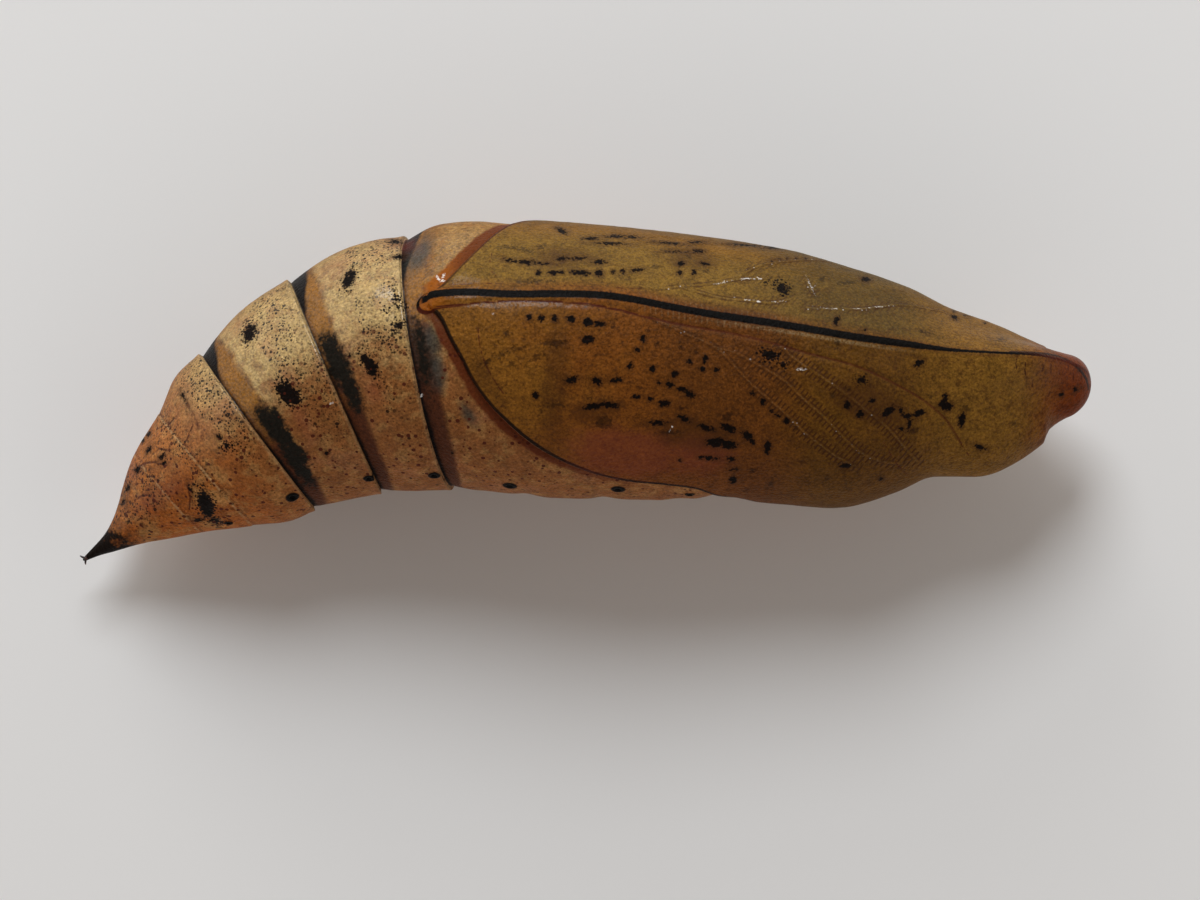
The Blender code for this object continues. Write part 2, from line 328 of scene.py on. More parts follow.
def lineOnBelly(places):  # a smooth line through places seen from above, laid on the skin
    places = np.array(places)
    knots = np.concatenate([[0.0], np.cumsum(np.hypot(*np.diff(places, axis=0).T))])
    at = np.linspace(0.0, knots[-1], max(3, round(knots[-1] / 0.2)))
    xs, ys = smoothCurve(knots, places[:, 0], at), smoothCurve(knots, places[:, 1], at)
    return np.array([onBelly(x, y)[0] for x, y in zip(xs, ys)])


# Lines on the wing cases, as places seen from above: x, y.
lines = {
    "costa": [(
        (-3.60, 1.93), (-3.07, 1.97), (-2.01, 2.06), (-0.95, 2.06), (-0.13, 2.02), (0.70, 1.88), (1.58, 1.66),
        (2.44, 1.49), (3.44, 1.32), (4.50, 1.06), (5.26, 0.84), (6.31, 0.56), (7.14, 0.19), (7.98, -0.30),
        (8.47, -0.74), (8.64, -1.00), (8.80, -1.27),
    )],
    "veins": [
        ((1.58, 1.67), (2.39, 1.29), (3.04, 0.99), (3.54, 0.49), (3.89, 0.12), (4.31, -0.24), (4.71, -0.59),
         (5.11, -0.98), (5.51, -1.29), (5.91, -1.57), (6.31, -1.76)),
        ((3.04, 0.99), (3.49, 0.87), (3.95, 0.63), (4.71, 0.16), (5.06, -0.19), (5.47, -0.54), (5.82, -0.89),
         (6.22, -1.29), (6.62, -1.55), (7.06, -1.68), (7.41, -1.70)),
        ((4.50, 1.06), (4.90, 0.71), (5.25, 0.47), (5.65, 0.21), (6.07, -0.09), (6.52, -0.45), (6.92, -0.75),
         (7.23, -1.06), (7.53, -1.41), (7.77, -1.66)),
    ],
    "farVeins": [
        ((1.28, 2.42), (1.77, 2.37), (2.19, 2.42), (2.78, 2.47), (3.18, 2.53), (3.49, 2.58), (3.89, 2.61),
         (4.24, 2.62)),
        ((3.49, 2.58), (3.75, 2.77), (4.01, 2.90), (4.30, 2.98), (4.81, 3.03), (5.30, 3.06), (5.65, 3.04)),
        ((2.19, 2.42), (2.74, 2.26), (3.14, 2.16), (3.49, 2.12), (3.84, 2.09), (4.19, 2.04), (4.55, 2.07),
         (4.81, 2.15)),
        ((5.16, 1.93), (5.56, 1.90), (6.00, 1.90), (6.42, 1.90), (6.83, 1.95), (7.23, 2.00), (8.40, 1.86)),
        ((5.16, 2.58), (5.22, 2.43), (5.30, 2.28)),
    ],
    "rim": [
        ((9.95, 0.90), (10.60, 0.88), (11.12, 0.80), (11.45, 0.63), (11.66, 0.43), (11.78, 0.25),
         (11.83, 0.05)),
    ],
    "creases": [
        ((-9.46, -0.12), (-9.20, -0.55), (-8.95, -1.15)),
    ],
    "threads": [
        ((-3.42, 2.45), (-2.40, 2.48), (-1.40, 2.47), (0.11, 2.40), (1.30, 2.36)),
        ((-2.49, 1.53), (-2.46, 1.11), (-2.34, 0.66), (-2.10, 0.20), (-1.85, -0.15)),
        ((-2.16, 3.28), (-2.22, 3.00), (-2.18, 2.75), (-1.98, 2.58)),
        ((10.11, 0.86), (10.06, 0.60), (10.11, 0.40)),
        ((10.30, 0.66), (10.27, 0.48), (10.30, 0.34)),
        ((10.48, 0.33), (10.46, 0.09)),
        ((10.73, 0.70), (10.71, 0.46)),
        ((10.90, 0.66), (10.90, 0.40)),
        ((11.14, 0.66), (11.12, 0.39)),
        ((11.32, 0.60), (11.30, 0.26)),
        ((11.44, 0.50), (11.45, 0.22)),
        ((8.80, -1.27), (8.98, -1.52)),
        ((6.95, -1.20), (7.30, -1.75), (7.55, -1.98)),
        ((-10.62, -1.86), (-10.30, -1.67), (-9.84, -1.76)),
        ((-10.87, -2.82), (-10.52, -2.50), (-10.30, -2.42), (-10.07, -2.63)),
        ((-10.62, -2.20), (-10.36, -2.16), (-10.20, -2.30)),
        ((-11.00, -2.20), (-10.82, -2.02)),
        ((-9.52, -1.40), (-9.28, -1.02), (-9.20, -0.80)),
        ((-9.90, -0.90), (-9.62, -0.60)),
        ((-10.40, -2.02), (-10.10, -2.02), (-9.95, -2.20), (-10.00, -2.42)),
        ((-10.20, -1.50), (-10.02, -1.36), (-9.80, -1.40)),
        ((-9.36, -2.20), (-9.28, -2.50), (-9.32, -2.80)),
        ((-10.98, -2.95), (-10.62, -2.78), (-10.44, -2.90)),
        ((-9.70, -1.95), (-9.52, -1.90)),
    ],
}

# Marks, as places seen from above: x, y, length, width, and the turn of the length from +X.
marks = {
    # black flecks
    "fleck": (
        (-1.3, 1.69, 0.15, 0.16, 0), (-1.02, 1.67, 0.15, 0.16, 0), (-0.72, 1.67, 0.16, 0.17, 0),
        (-0.34, 1.65, 0.21, 0.17, 0), (0.06, 1.58, 0.2, 0.2, 0), (0.32, 1.54, 0.28, 0.13, -10),
        (0.06, 1.17, 0.3, 0.19, 10), (-1.15, -0.12, 0.16, 0.16, 0), (-0.3, 0.24, 0.38, 0.15, 10),
        (0.26, 0.21, 0.26, 0.16, -15), (0.71, 0.23, 0.32, 0.11, 12), (0.18, -0.38, 0.5, 0.15, 10),
        (0.55, -0.34, 0.45, 0.14, -4), (1.34, 1.2, 0.15, 0.15, 0), (1.21, 0.94, 0.12, 0.1, 0),
        (1.04, 0.57, 0.17, 0.14, 35), (1.56, 0.5, 0.15, 0.14, 0), (2.08, 0.38, 0.16, 0.15, 0),
        (1.97, 0.13, 0.19, 0.13, 0), (1.7, 0.19, 0.1, 0.1, 0), (2.27, 0.02, 0.24, 0.12, 0),
        (2.42, -0.08, 0.24, 0.15, -30), (1.19, -0.16, 0.21, 0.1, 0), (1.51, -0.21, 0.14, 0.14, 0),
        (1.83, -0.31, 0.28, 0.16, 5), (1.67, -0.76, 0.4, 0.11, 0), (2.3, -0.67, 0.3, 0.13, -28),
        (2.42, 0.66, 0.12, 0.14, 60), (2.8, 0.74, 0.12, 0.15, 60), (2.76, 0.63, 0.1, 0.1, 60),
        (2.71, 0.5, 0.13, 0.12, 0), (3.04, 0.47, 0.15, 0.1, 35), (2.82, -0.88, 0.4, 0.12, -15),
        (3.33, -0.88, 0.4, 0.18, -25), (3.05, -1.21, 0.46, 0.2, 0), (3.33, -1.27, 0.36, 0.2, -8),
        (3.77, -1.06, 0.28, 0.18, -35), (3.88, -1.18, 0.16, 0.1, -60), (4.24, -1.32, 0.3, 0.16, 84),
        (2.7, -1.56, 0.16, 0.09, 0), (2.88, -1.58, 0.18, 0.1, 0), (3.05, -1.6, 0.15, 0.08, 0),
        (3.4, -1.6, 0.2, 0.1, 0), (3.45, -1.83, 0.2, 0.08, 0), (3.45, -2.09, 0.19, 0.17, 0),
        (2.22, -1.62, 0.07, 0.07, 0), (3.87, -0.07, 0.13, 0.12, 0), (4.12, -0.27, 0.17, 0.15, -20),
        (4.33, -0.47, 0.1, 0.1, 0), (4.46, -0.59, 0.12, 0.1, 0), (4.68, -0.72, 0.15, 0.14, 0),
        (5.86, 1.62, 0.22, 0.12, 62), (6.52, 1.39, 0.08, 0.08, 0), (7.78, 0.63, 0.26, 0.14, 42),
        (6.09, -0.35, 0.2, 0.18, 0), (6.4, -0.56, 0.18, 0.17, 0), (6.68, -0.24, 0.14, 0.12, 40),
        (7.06, -0.49, 0.36, 0.16, 40), (7.36, -0.47, 0.2, 0.1, -70), (7.52, -0.6, 0.2, 0.14, 0),
        (7.56, -0.78, 0.28, 0.11, 80), (7.78, -0.53, 0.3, 0.15, 15), (7.37, -0.9, 0.1, 0.08, 0),
        (8.42, -0.36, 0.34, 0.2, -10), (8.4, -0.19, 0.26, 0.12, 85), (8.8, -0.68, 0.33, 0.17, 75),
        (6.04, -1.76, 0.25, 0.13, 5), (6.92, -2.06, 0.12, 0.09, 0), (9.24, -1.32, 0.25, 0.11, -22),
        (11.17, -0.09, 0.1, 0.1, 0), (11.5, 0.02, 0.12, 0.09, 60), (8.68, 0.14, 0.05, 0.05, 0),
        (-0.55, 3.74, 0.28, 0.11, -25), (0.15, 3.55, 0.33, 0.07, 0), (0.7, 3.61, 0.4, 0.08, 3),
        (1.05, 3.6, 0.36, 0.07, -3), (0.6, 3.43, 0.52, 0.06, -2), (-1.75, 3.02, 0.34, 0.08, -8),
        (-1.38, 2.98, 0.4, 0.1, -4), (-1.02, 2.95, 0.34, 0.06, -6), (-0.55, 3.08, 0.3, 0.09, 0),
        (-0.2, 3.08, 0.3, 0.07, 4), (0.32, 2.99, 0.28, 0.12, 0), (-1.09, 2.73, 0.13, 0.11, 0),
        (-0.76, 2.73, 0.2, 0.14, 0), (-0.55, 2.73, 0.14, 0.08, 0), (-0.12, 2.73, 0.44, 0.13, -6),
        (0.32, 2.73, 0.2, 0.17, 0), (0.65, 2.75, 0.1, 0.09, 0), (0.88, 2.77, 0.11, 0.11, 0),
        (1.19, 2.8, 0.24, 0.09, 8), (1.99, 3.45, 0.48, 0.06, -3), (2.6, 3.48, 0.3, 0.05, 0),
        (2.2, 3.24, 0.36, 0.04, 0), (2.64, 3.27, 0.26, 0.09, 0), (2.22, 2.94, 0.17, 0.12, 35),
        (2.78, 2.96, 0.2, 0.09, -10), (2.2, 2.73, 0.14, 0.12, 30), (2.53, 2.75, 0.16, 0.1, 80),
        (6.57, 2.61, 0.2, 0.12, 0), (8.66, 1.72, 0.18, 0.1, -20), (4.4, 3.41, 0.32, 0.05, -4),
        (3.75, 3.43, 0.6, 0.05, -3), (4.36, 3.04, 0.05, 0.05, 0), (4.55, 3.08, 0.06, 0.05, 0),
        (4.72, 3.1, 0.05, 0.05, 0), (4.95, 3.1, 0.05, 0.05, 0), (5.17, 3.1, 0.06, 0.05, 0),
        (9.5, 1.85, 0.06, 0.05, 0), (9.02, 2.0, 0.1, 0.04, -20), (8.75, 2.08, 0.07, 0.05, 0),
        (-5.47, 2.72, 0.2, 0.16, 65), (-5.56, 2.52, 0.26, 0.2, 70), (-5.12, 0.72, 0.26, 0.17, -50),
        (-4.94, 0.46, 0.34, 0.2, -55), (-4.34, 3.12, 0.24, 0.1, 0), (-7.84, 1.44, 0.2, 0.18, 80),
        (-7.89, 1.28, 0.26, 0.2, 75), (-8.94, -2.58, 0.3, 0.22, -75), (-8.9, -2.84, 0.22, 0.16, -60),
        (-10.56, -1.86, 0.17, 0.13, 40), (-8.57, -1.08, 0.14, 0.1, -30), (-4.48, 3.5, 0.26, 0.1, -6),
        (-5.48, 0.8, 0.12, 0.08, 30), (-4.34, 1.5, 0.16, 0.12, 50), (-9.43, -0.15, 0.22, 0.06, -60),
        (-9.93, -1.72, 0.14, 0.08, 30), (-10.3, -1.02, 0.14, 0.1, 60), (-10.62, -1.3, 0.2, 0.1, 55),
        (-10.46, -1.16, 0.14, 0.1, 20), (-9.96, -1.55, 0.2, 0.09, 40), (-10.8, -2.3, 0.2, 0.08, 70),
        (-10.92, -2.62, 0.16, 0.08, 50), (-9.28, -2.3, 0.2, 0.07, -70), (-9.14, -3.04, 0.24, 0.08, 10),
        (-8.8, -3.34, 0.16, 0.08, 15), (-3.1, -1.46, 0.06, 0.06, 0), (-6.06, -1.46, 0.1, 0.1, 0),
    ),
    # fainter flecks, as if under the surface
    "faint": (
        (-0.7, 1.09, 0.62, 0.15, 0), (-1.53, 0.97, 0.33, 0.12, 5), (-1.81, 1.32, 0.16, 0.14, 0),
        (-1.13, 0.76, 0.36, 0.12, 18), (-1.7, 0.6, 0.16, 0.14, 60), (-1.95, 0.8, 0.4, 0.09, 22),
        (-2.28, 0.65, 0.32, 0.09, 25), (-0.67, -0.35, 0.42, 0.11, 0), (-1.03, -0.46, 0.09, 0.08, 0),
        (0.65, 1.46, 0.13, 0.11, 0), (0.11, -0.19, 0.12, 0.1, 0), (0.43, -0.76, 0.36, 0.3, 0),
        (1.66, 1.06, 0.12, 0.13, 0), (1.45, 1.39, 0.1, 0.09, 0), (1.26, 0.05, 0.17, 0.07, 0),
        (2.22, -0.42, 0.14, 0.1, 0), (2.55, 0.89, 0.12, 0.08, 50), (2.22, 1.06, 0.14, 0.12, -50),
        (3.3, -0.62, 0.26, 0.16, 30), (3.87, -1.88, 0.16, 0.1, 0), (4.3, -2.19, 0.2, 0.1, 30),
        (3.75, -2.33, 0.13, 0.1, 0), (4.9, -0.9, 0.12, 0.09, 0), (5.75, -0.1, 0.13, 0.12, 0),
        (6.09, 0.05, 0.13, 0.1, 0), (6.43, 0.24, 0.24, 0.18, 0), (7.68, -0.93, 0.22, 0.12, 20),
        (8.07, -0.12, 0.14, 0.1, 0), (8.89, -0.42, 0.2, 0.12, 0), (5.66, -2.06, 0.13, 0.12, 0),
        (5.86, 1.09, 0.2, 0.1, 82), (10.07, -0.78, 0.14, 0.1, 0), (-1.4, 3.27, 0.34, 0.08, -18),
        (-1.8, 3.34, 0.34, 0.07, -8), (-1.05, 3.34, 0.12, 0.08, 0), (-1.28, 2.54, 0.7, 0.07, 0),
        (1.66, 2.87, 0.18, 0.07, 0), (1.63, 3.48, 0.16, 0.05, 0), (1.89, 3.27, 0.14, 0.05, 0),
        (2.41, 3.13, 0.1, 0.07, 0), (2.81, 2.77, 0.12, 0.08, 0), (5.53, 2.6, 0.16, 0.1, 40),
        (6.1, 2.53, 0.38, 0.07, 8), (7.92, 1.36, 0.2, 0.08, -15), (9.74, 1.2, 0.26, 0.12, 0),
        (-0.95, 3.4, 0.1, 0.08, 0), (1.95, -0.98, 0.5, 0.1, 0),
    ),
    # broad soft shadows in the wing case
    "shade": (
        (-0.7, 0.1, 2.9, 0.6, 87), (-2.35, 0.3, 1.6, 0.4, -62), (2.6, -1.05, 1.9, 0.7, -8),
        (3.6, 1.7, 1.5, 0.3, -12), (6.6, -0.3, 2.0, 0.8, -20), (0.2, -0.5, 1.2, 0.5, 5),
        (-0.6, 3.1, 1.5, 0.5, 0), (2.4, 3.1, 1.2, 0.5, -5), (-0.74, -0.4, 1.4, 0.44, 87),
    ),
    # clusters of tiny dots round a spot
    "fuzz": (
        (4.27, 0.82, 0.52, 0.34, -12), (4.57, 0.62, 0.24, 0.26, 60), (4.6, 2.38, 0.38, 0.34, -60),
        (4.38, 2.5, 0.2, 0.12, 0), (-6.93, -0.08, 0.9, 0.5, -42), (-5.52, 2.6, 0.6, 0.34, 68),
        (-7.87, 1.36, 0.56, 0.34, 78), (-5.0, 0.58, 0.82, 0.34, -55), (-8.93, -2.66, 0.84, 0.44, -66),
        (-8.7, -3.06, 0.5, 0.26, -20), (-8.4, -1.3, 0.3, 0.24, 0), (-4.36, 2.1, 0.44, 0.18, -60),
        (-4.6, 1.86, 0.3, 0.14, -50), (6.43, 0.24, 0.26, 0.22, 0), (-4.34, 1.5, 0.3, 0.2, 40),
    ),
    # reddish places
    "blush": (
        (-4.42, 3.44, 0.8, 0.34, -6), (-6.6, -0.72, 0.8, 0.3, -62), (-5.75, 2.78, 0.4, 0.26, 40),
        (-8.1, 1.52, 0.4, 0.26, 40), (-4.9, 0.0, 0.5, 0.3, -80), (0.9, -1.45, 2.6, 1.1, -4),
        (2.6, -1.5, 1.5, 0.8, 0), (-9.7, -2.3, 0.7, 0.4, 30), (-10.2, -2.6, 0.9, 0.5, 35),
        (-10.7, -1.9, 0.5, 0.34, 60),
    ),
    # dark patches in the soft bands between the rings
    "patch": (
        (-7.3, -0.74, 0.9, 0.44, -50), (-7.05, -1.12, 0.8, 0.36, -50), (-6.8, -1.52, 0.8, 0.4, -52),
        (-6.6, -1.9, 0.6, 0.3, -56), (-5.9, 0.92, 0.8, 0.4, -64), (-5.72, 0.52, 0.9, 0.46, -62),
        (-5.5, 0.1, 0.8, 0.34, -64), (-5.36, -0.24, 0.5, 0.26, -66), (-3.84, 1.16, 0.7, 0.2, -80),
        (-3.74, 0.6, 0.8, 0.2, -80),
    ),
    # grey-blue stains by the front joint
    "slate": (
        (-3.54, 1.1, 0.8, 0.4, -84), (-3.44, 0.5, 0.9, 0.34, -82), (-3.88, 3.16, 0.95, 0.42, 62),
        (-2.72, -0.55, 0.5, 0.26, -60),
    ),
    # painted highlights: small pale sparks, and one pale lint fibre
    "paintedGlint": (
        (-3.44, 2.62, 0.06, 0.14, 10), (-3.34, 2.56, 0.12, 0.07, 15), (-3.3, 2.66, 0.05, 0.12, -20),
        (-2.13, 1.77, 0.09, 0.05, 20), (5.0, 0.49, 0.2, 0.05, 4), (3.31, 2.54, 0.16, 0.02, 10),
        (3.7, 2.6, 0.2, 0.02, 4), (4.01, 2.6, 0.12, 0.02, 0), (3.08, 2.48, 0.12, 0.018, 10),
        (3.83, 2.1, 0.16, 0.018, -4), (4.02, 2.07, 0.1, 0.03, 0), (4.45, 2.07, 0.16, 0.018, 4),
        (5.55, 1.91, 0.14, 0.018, 0), (5.82, 1.9, 0.14, 0.02, 0), (6.3, 1.9, 0.12, 0.018, 0),
        (6.62, 1.93, 0.1, 0.018, 4), (6.82, 1.95, 0.12, 0.018, 4), (5.25, 2.48, 0.28, 0.02, -66),
        (5.33, 2.42, 0.14, 0.018, 50), (-3.8, -0.12, 0.12, 0.05, 50), (-5.92, -0.3, 0.1, 0.05, 30),
        (2.0, -0.87, 0.1, 0.03, 60),
    ),
}

# Breathing holes on both flanks: spine x, turn, length, width.
spiracles = (
    (-9.29, 88.0, 0.22, 0.17), (-7.93, 76.0, 0.30, 0.27), (-6.02, 83.0, 0.27, 0.24),
    (-3.90, 85.5, 0.27, 0.25),
    (-1.89, 92.0, 0.33, 0.29), (0.80, 92.0, 0.34, 0.27), (2.60, 97.0, 0.24, 0.18),
)

# Width of the soft band ahead of a joint, and of its dark part: turn, width.
bandWidth = (
    (-180, 0.20), (-90, 0.34), (-60, 0.44), (-30, 0.52), (10, 0.52), (35, 0.50), (75, 0.50), (110, 0.34),
    (180, 0.20),
)
wedgeWidth = (
    (-180, 0.16), (-110, 0.34), (-62, 0.40), (-38, 0.30), (-14, 0.02), (20, 0.02), (60, 0.10), (180, 0.10),
)


def pathDistance(points, path, reach):
    best = np.full(len(points), reach)
    low, high = path.min(axis=0) - reach, path.max(axis=0) + reach
    near = np.flatnonzero(((points > low) & (points < high)).all(axis=1))
    close, found = points[near], best[near]
    for start, end in zip(path[:-1], path[1:]):
        run = end - start
        t = np.clip((close - start) @ run / (run @ run), 0.0, 1.0)
        found = np.minimum(found, np.linalg.norm(close - start - t[:, None] * run, axis=1))
    best[near] = found
    return best


def markField(points, places, reach=0.5):  # distance inside the nearest mark's outline, in millimetres
    field = np.full(len(points), -reach)
    for x, y, length, width, turn in places:
        centre, normal = onBelly(x, y)
        direction = np.array([math.cos(math.radians(turn)), math.sin(math.radians(turn)), 0.0])
        direction -= normal * (direction @ normal)
        direction /= np.linalg.norm(direction)
        across = np.cross(normal, direction)
        near = np.flatnonzero((np.abs(points - centre) < length / 2 + width / 2 + reach).all(axis=1))
        away = points[near] - centre
        q = np.hypot(away @ direction / (length / 2), away @ across / (width / 2))
        sunk = np.abs(away @ normal) < 1.0
        inside = np.where(sunk, (1.0 - q) * min(length, width) / 2, -reach)
        field[near] = np.maximum(field[near], inside)
    return field


spiracleMarks = []  # centre and radius of each hole
for x, turn, length, width in spiracles:
    for flank in (1.0, -1.0):
        s, t = np.array([alongAt(x)]), np.array([turn * flank])
        spot, _ = skinPoint(s, t, dressedRadius(s, t, roughInside(s, t)))
        spiracleMarks.append((spot[0] + shift, (length + width) / 4))


def spiracleField(points):  # 1 at a breathing hole's centre, 0 at its outline
    field = np.full(len(points), -1.0)
    for centre, radius in spiracleMarks:
        field = np.maximum(field, 1.0 - np.linalg.norm(points - centre, axis=1) / radius)
    return field


def edgePath(side):
    s = np.linspace(alongAt(wing["edge"][0][0]), alongAt(wing["edge"][-1][0]), 260)
    turn = side * wingTurn(s, side)
    return skinPoint(s, turn, bareRadius(s, turn) * endCaps(s))[0]


lineReach = 0.6  # lines are measured no further off than this
edgeReach = 3.0
edgePaths = [edgePath(1.0), edgePath(-1.0)]
linePaths = {name: [lineOnBelly(places) for places in group] for name, group in lines.items()}
print("stage 2: form and markings set out")


def insideWing(s, turn):
    bare, _ = skinPoint(s, turn, bareRadius(s, turn) * endCaps(s))
    off = np.min([pathDistance(bare, path, edgeReach) for path in edgePaths], axis=0)
    return np.where((np.abs(turn) < wingTurn(s, turn)) & (s > tipOfWing), off, -off)


# The height and half width of the ridge or groove that lines make, and the finer relief.
relief = {
    "lines": {
        "veins": (0.012, 0.035), "farVeins": (0.012, 0.035), "costa": (-0.022, 0.04),
        "creases": (-0.012, 0.05), "threads": (-0.008, 0.03),
    },
    "gutterWidth": 0.05,
    "gutterFade": (5.0, 8.0),
    "holeRim": 0.035,
    "holePit": 0.05,
    "unevenness": ((0.012, 1.1), (0.006, 4.3)),  # height, and waves per millimetre
}


def fineRelief(s, fields, rough):  # low relief that the markings sit in
    width = relief["gutterWidth"]
    gutter = np.exp(-(((fields["inside"] + width) / width) ** 2)) * (s > tipOfWing)
    fadeFrom, fadeTo = (alongAt(x) for x in relief["gutterFade"])
    lift = -wing["gutter"] * gutter * (1.0 - ramp(fadeFrom, fadeTo, s))
    for key, (height, width) in relief["lines"].items():
        lift += height * np.exp(-((fields[key] / width) ** 2))
    hole = fields["spiracle"]
    lift += relief["holeRim"] * ramp(-0.35, 0.15, hole) - relief["holePit"] * ramp(0.35, 0.75, hole)
    for height, waves in relief["unevenness"]:
        lift += height * np.array([noise.noise(Vector(point) * waves) for point in rough])
    return lift


def measure(s, turn):  # the finished place of every point of the skin, and what its markings are drawn from
    inside = insideWing(s, turn)
    rough, outward = skinPoint(s, turn, dressedRadius(s, turn, inside))
    rough = rough + shift
    fields = {"inside": inside}
    for name, group in linePaths.items():
        fields[name] = np.min([pathDistance(rough, path, lineReach) for path in group], axis=0)
    for name, places in marks.items():
        fields[name] = markField(rough, places)
    fields["spiracle"] = spiracleField(rough)
    placed = rough + outward * (fineRelief(s, fields, rough) * endCaps(s))[:, None]
    placed[:, 2] = np.maximum(placed[:, 2], nodeLow[2])
    return placed, fields


def bandField(s, turn, widths):  # distance inside a band ahead of each ring joint, in millimetres
    width = np.interp(turn, *zip(*widths))
    field = np.full(len(s), -1.0)
    for x, _ in body["joints"][2:]:
        ahead = s - alongAt(x)
        field = np.where(ahead >= 0.0, np.maximum(field, np.minimum(width - ahead, ahead + 0.3)), field)
    return field


def nearestJoint(s):  # distance ahead of the nearest ring joint
    best = np.full(len(s), 3.0)
    for x, _ in body["joints"]:
        ahead = s - alongAt(x)
        best = np.where(np.abs(ahead) < np.abs(best), ahead, best)
    return best


# The skin is two pieces: the forebody with the wing cases, and the free rings of the abdomen, which tuck
# inside the forebody at the front joint.
tuck = 0.5
pieces = {
    "forebody": {
        "from": frontJoint - tuck, "to": spineLength, "ringStep": 0.070, "visible": 140, "hidden": 64,
    },
    "abdomen": {
        "from": 0.0, "to": frontJoint + tuck, "ringStep": 0.050, "visible": 190, "hidden": 70,
    },
}
tuckDrop = 0.12  # how far the tucked rings lie under the forebody's rim
turnScale = 60.0  # degrees of turn to one unit of the flat grid
visibleTurns = (-72.0, 120.0)
jointRings = (-0.13, -0.10, -0.075, -0.05, -0.03, -0.015, 0.0, 0.015, 0.035, 0.06)
weldDistance = 0.0004
# The grid is made finer within these distances, in millimetres, of marks, lines, the keel's tip and, twice,
# the wing's edge. For a breathing hole the distance is in radii of the hole.
refining = {"mark": 0.05, "line": 0.06, "tip": 0.10, "edge": (0.12, 0.08), "edgeAside": 0.04, "hole": 0.5}


def ringPlaces(piece):
    low, high = piece["from"], piece["to"]
    places = set(np.linspace(low, high, round((high - low) / piece["ringStep"])))
    for x, _ in body["joints"]:
        joint = float(alongAt(x))
        if low < joint < high:
            places = {p for p in places if not joint - 0.13 < p < joint + 0.07}
            places |= {joint + off for off in jointRings}
    for end, cap, sign in ((low, tuck if low > 0 else body["tailCap"], 1.0), (high, tuck, -1.0)):
        places = {p for p in places if abs(p - end) > cap}
        places |= {end + sign * cap * (1.0 - math.cos(math.radians(a))) for a in range(0, 91, 6)}
    return np.array(sorted(places))


def columnTurns(piece):
    low, high = visibleTurns
    seen = np.linspace(low, high, piece["visible"] + 1)
    before = np.linspace(-180.0, low, round(piece["hidden"] * (180.0 + low) / (360.0 - high + low)) + 1)
    after = np.linspace(high, 180.0, round(piece["hidden"] * (180.0 - high) / (360.0 - high + low)) + 1)
    return np.concatenate([before, seen[1:], after[1:]])


def tuckIn(name, s, placed):  # the covered end of each piece closes to a point inside the other
    if name == "forebody":
        past = (frontJoint - s) / tuck
        drop = 0.0 * s
    else:
        past = (s - frontJoint) / tuck
        drop = tuckDrop * ramp(0.0, 0.05, s - frontJoint)
    axis, _ = skinPoint(s, 0.0 * s, 0.0 * s)
    axis = axis + shift
    away = placed - axis
    size = np.maximum(np.linalg.norm(away, axis=1), 1e-6)
    closed = np.maximum(size - drop, 0.0) / size * roundEnd(past)
    return axis + away * closed[:, None]


def addObject(bm, name):
    mesh = bpy.data.meshes.new(name)
    bm.to_mesh(mesh)
    bm.free()
    made = bpy.data.objects.new(name, mesh)
    bpy.context.scene.collection.objects.link(made)
    return made


def skinFlat(bm):  # where each vertex of the flat grid is: distance along the spine, and turn
    flat = np.array([vert.co[:2] for vert in bm.verts])
    return flat[:, 0], flat[:, 1] * turnScale


def isSeen(turn):
    return (turn > visibleTurns[0]) & (turn < visibleTurns[1])


def refine(bm, wanted):
    bm.verts.ensure_lookup_table()
    edges = [edge for edge in bm.edges if wanted[edge.verts[0].index] and wanted[edge.verts[1].index]]
    bmesh.ops.subdivide_edges(bm, edges=edges, cuts=1, use_grid_fill=True)
    bm.verts.index_update()


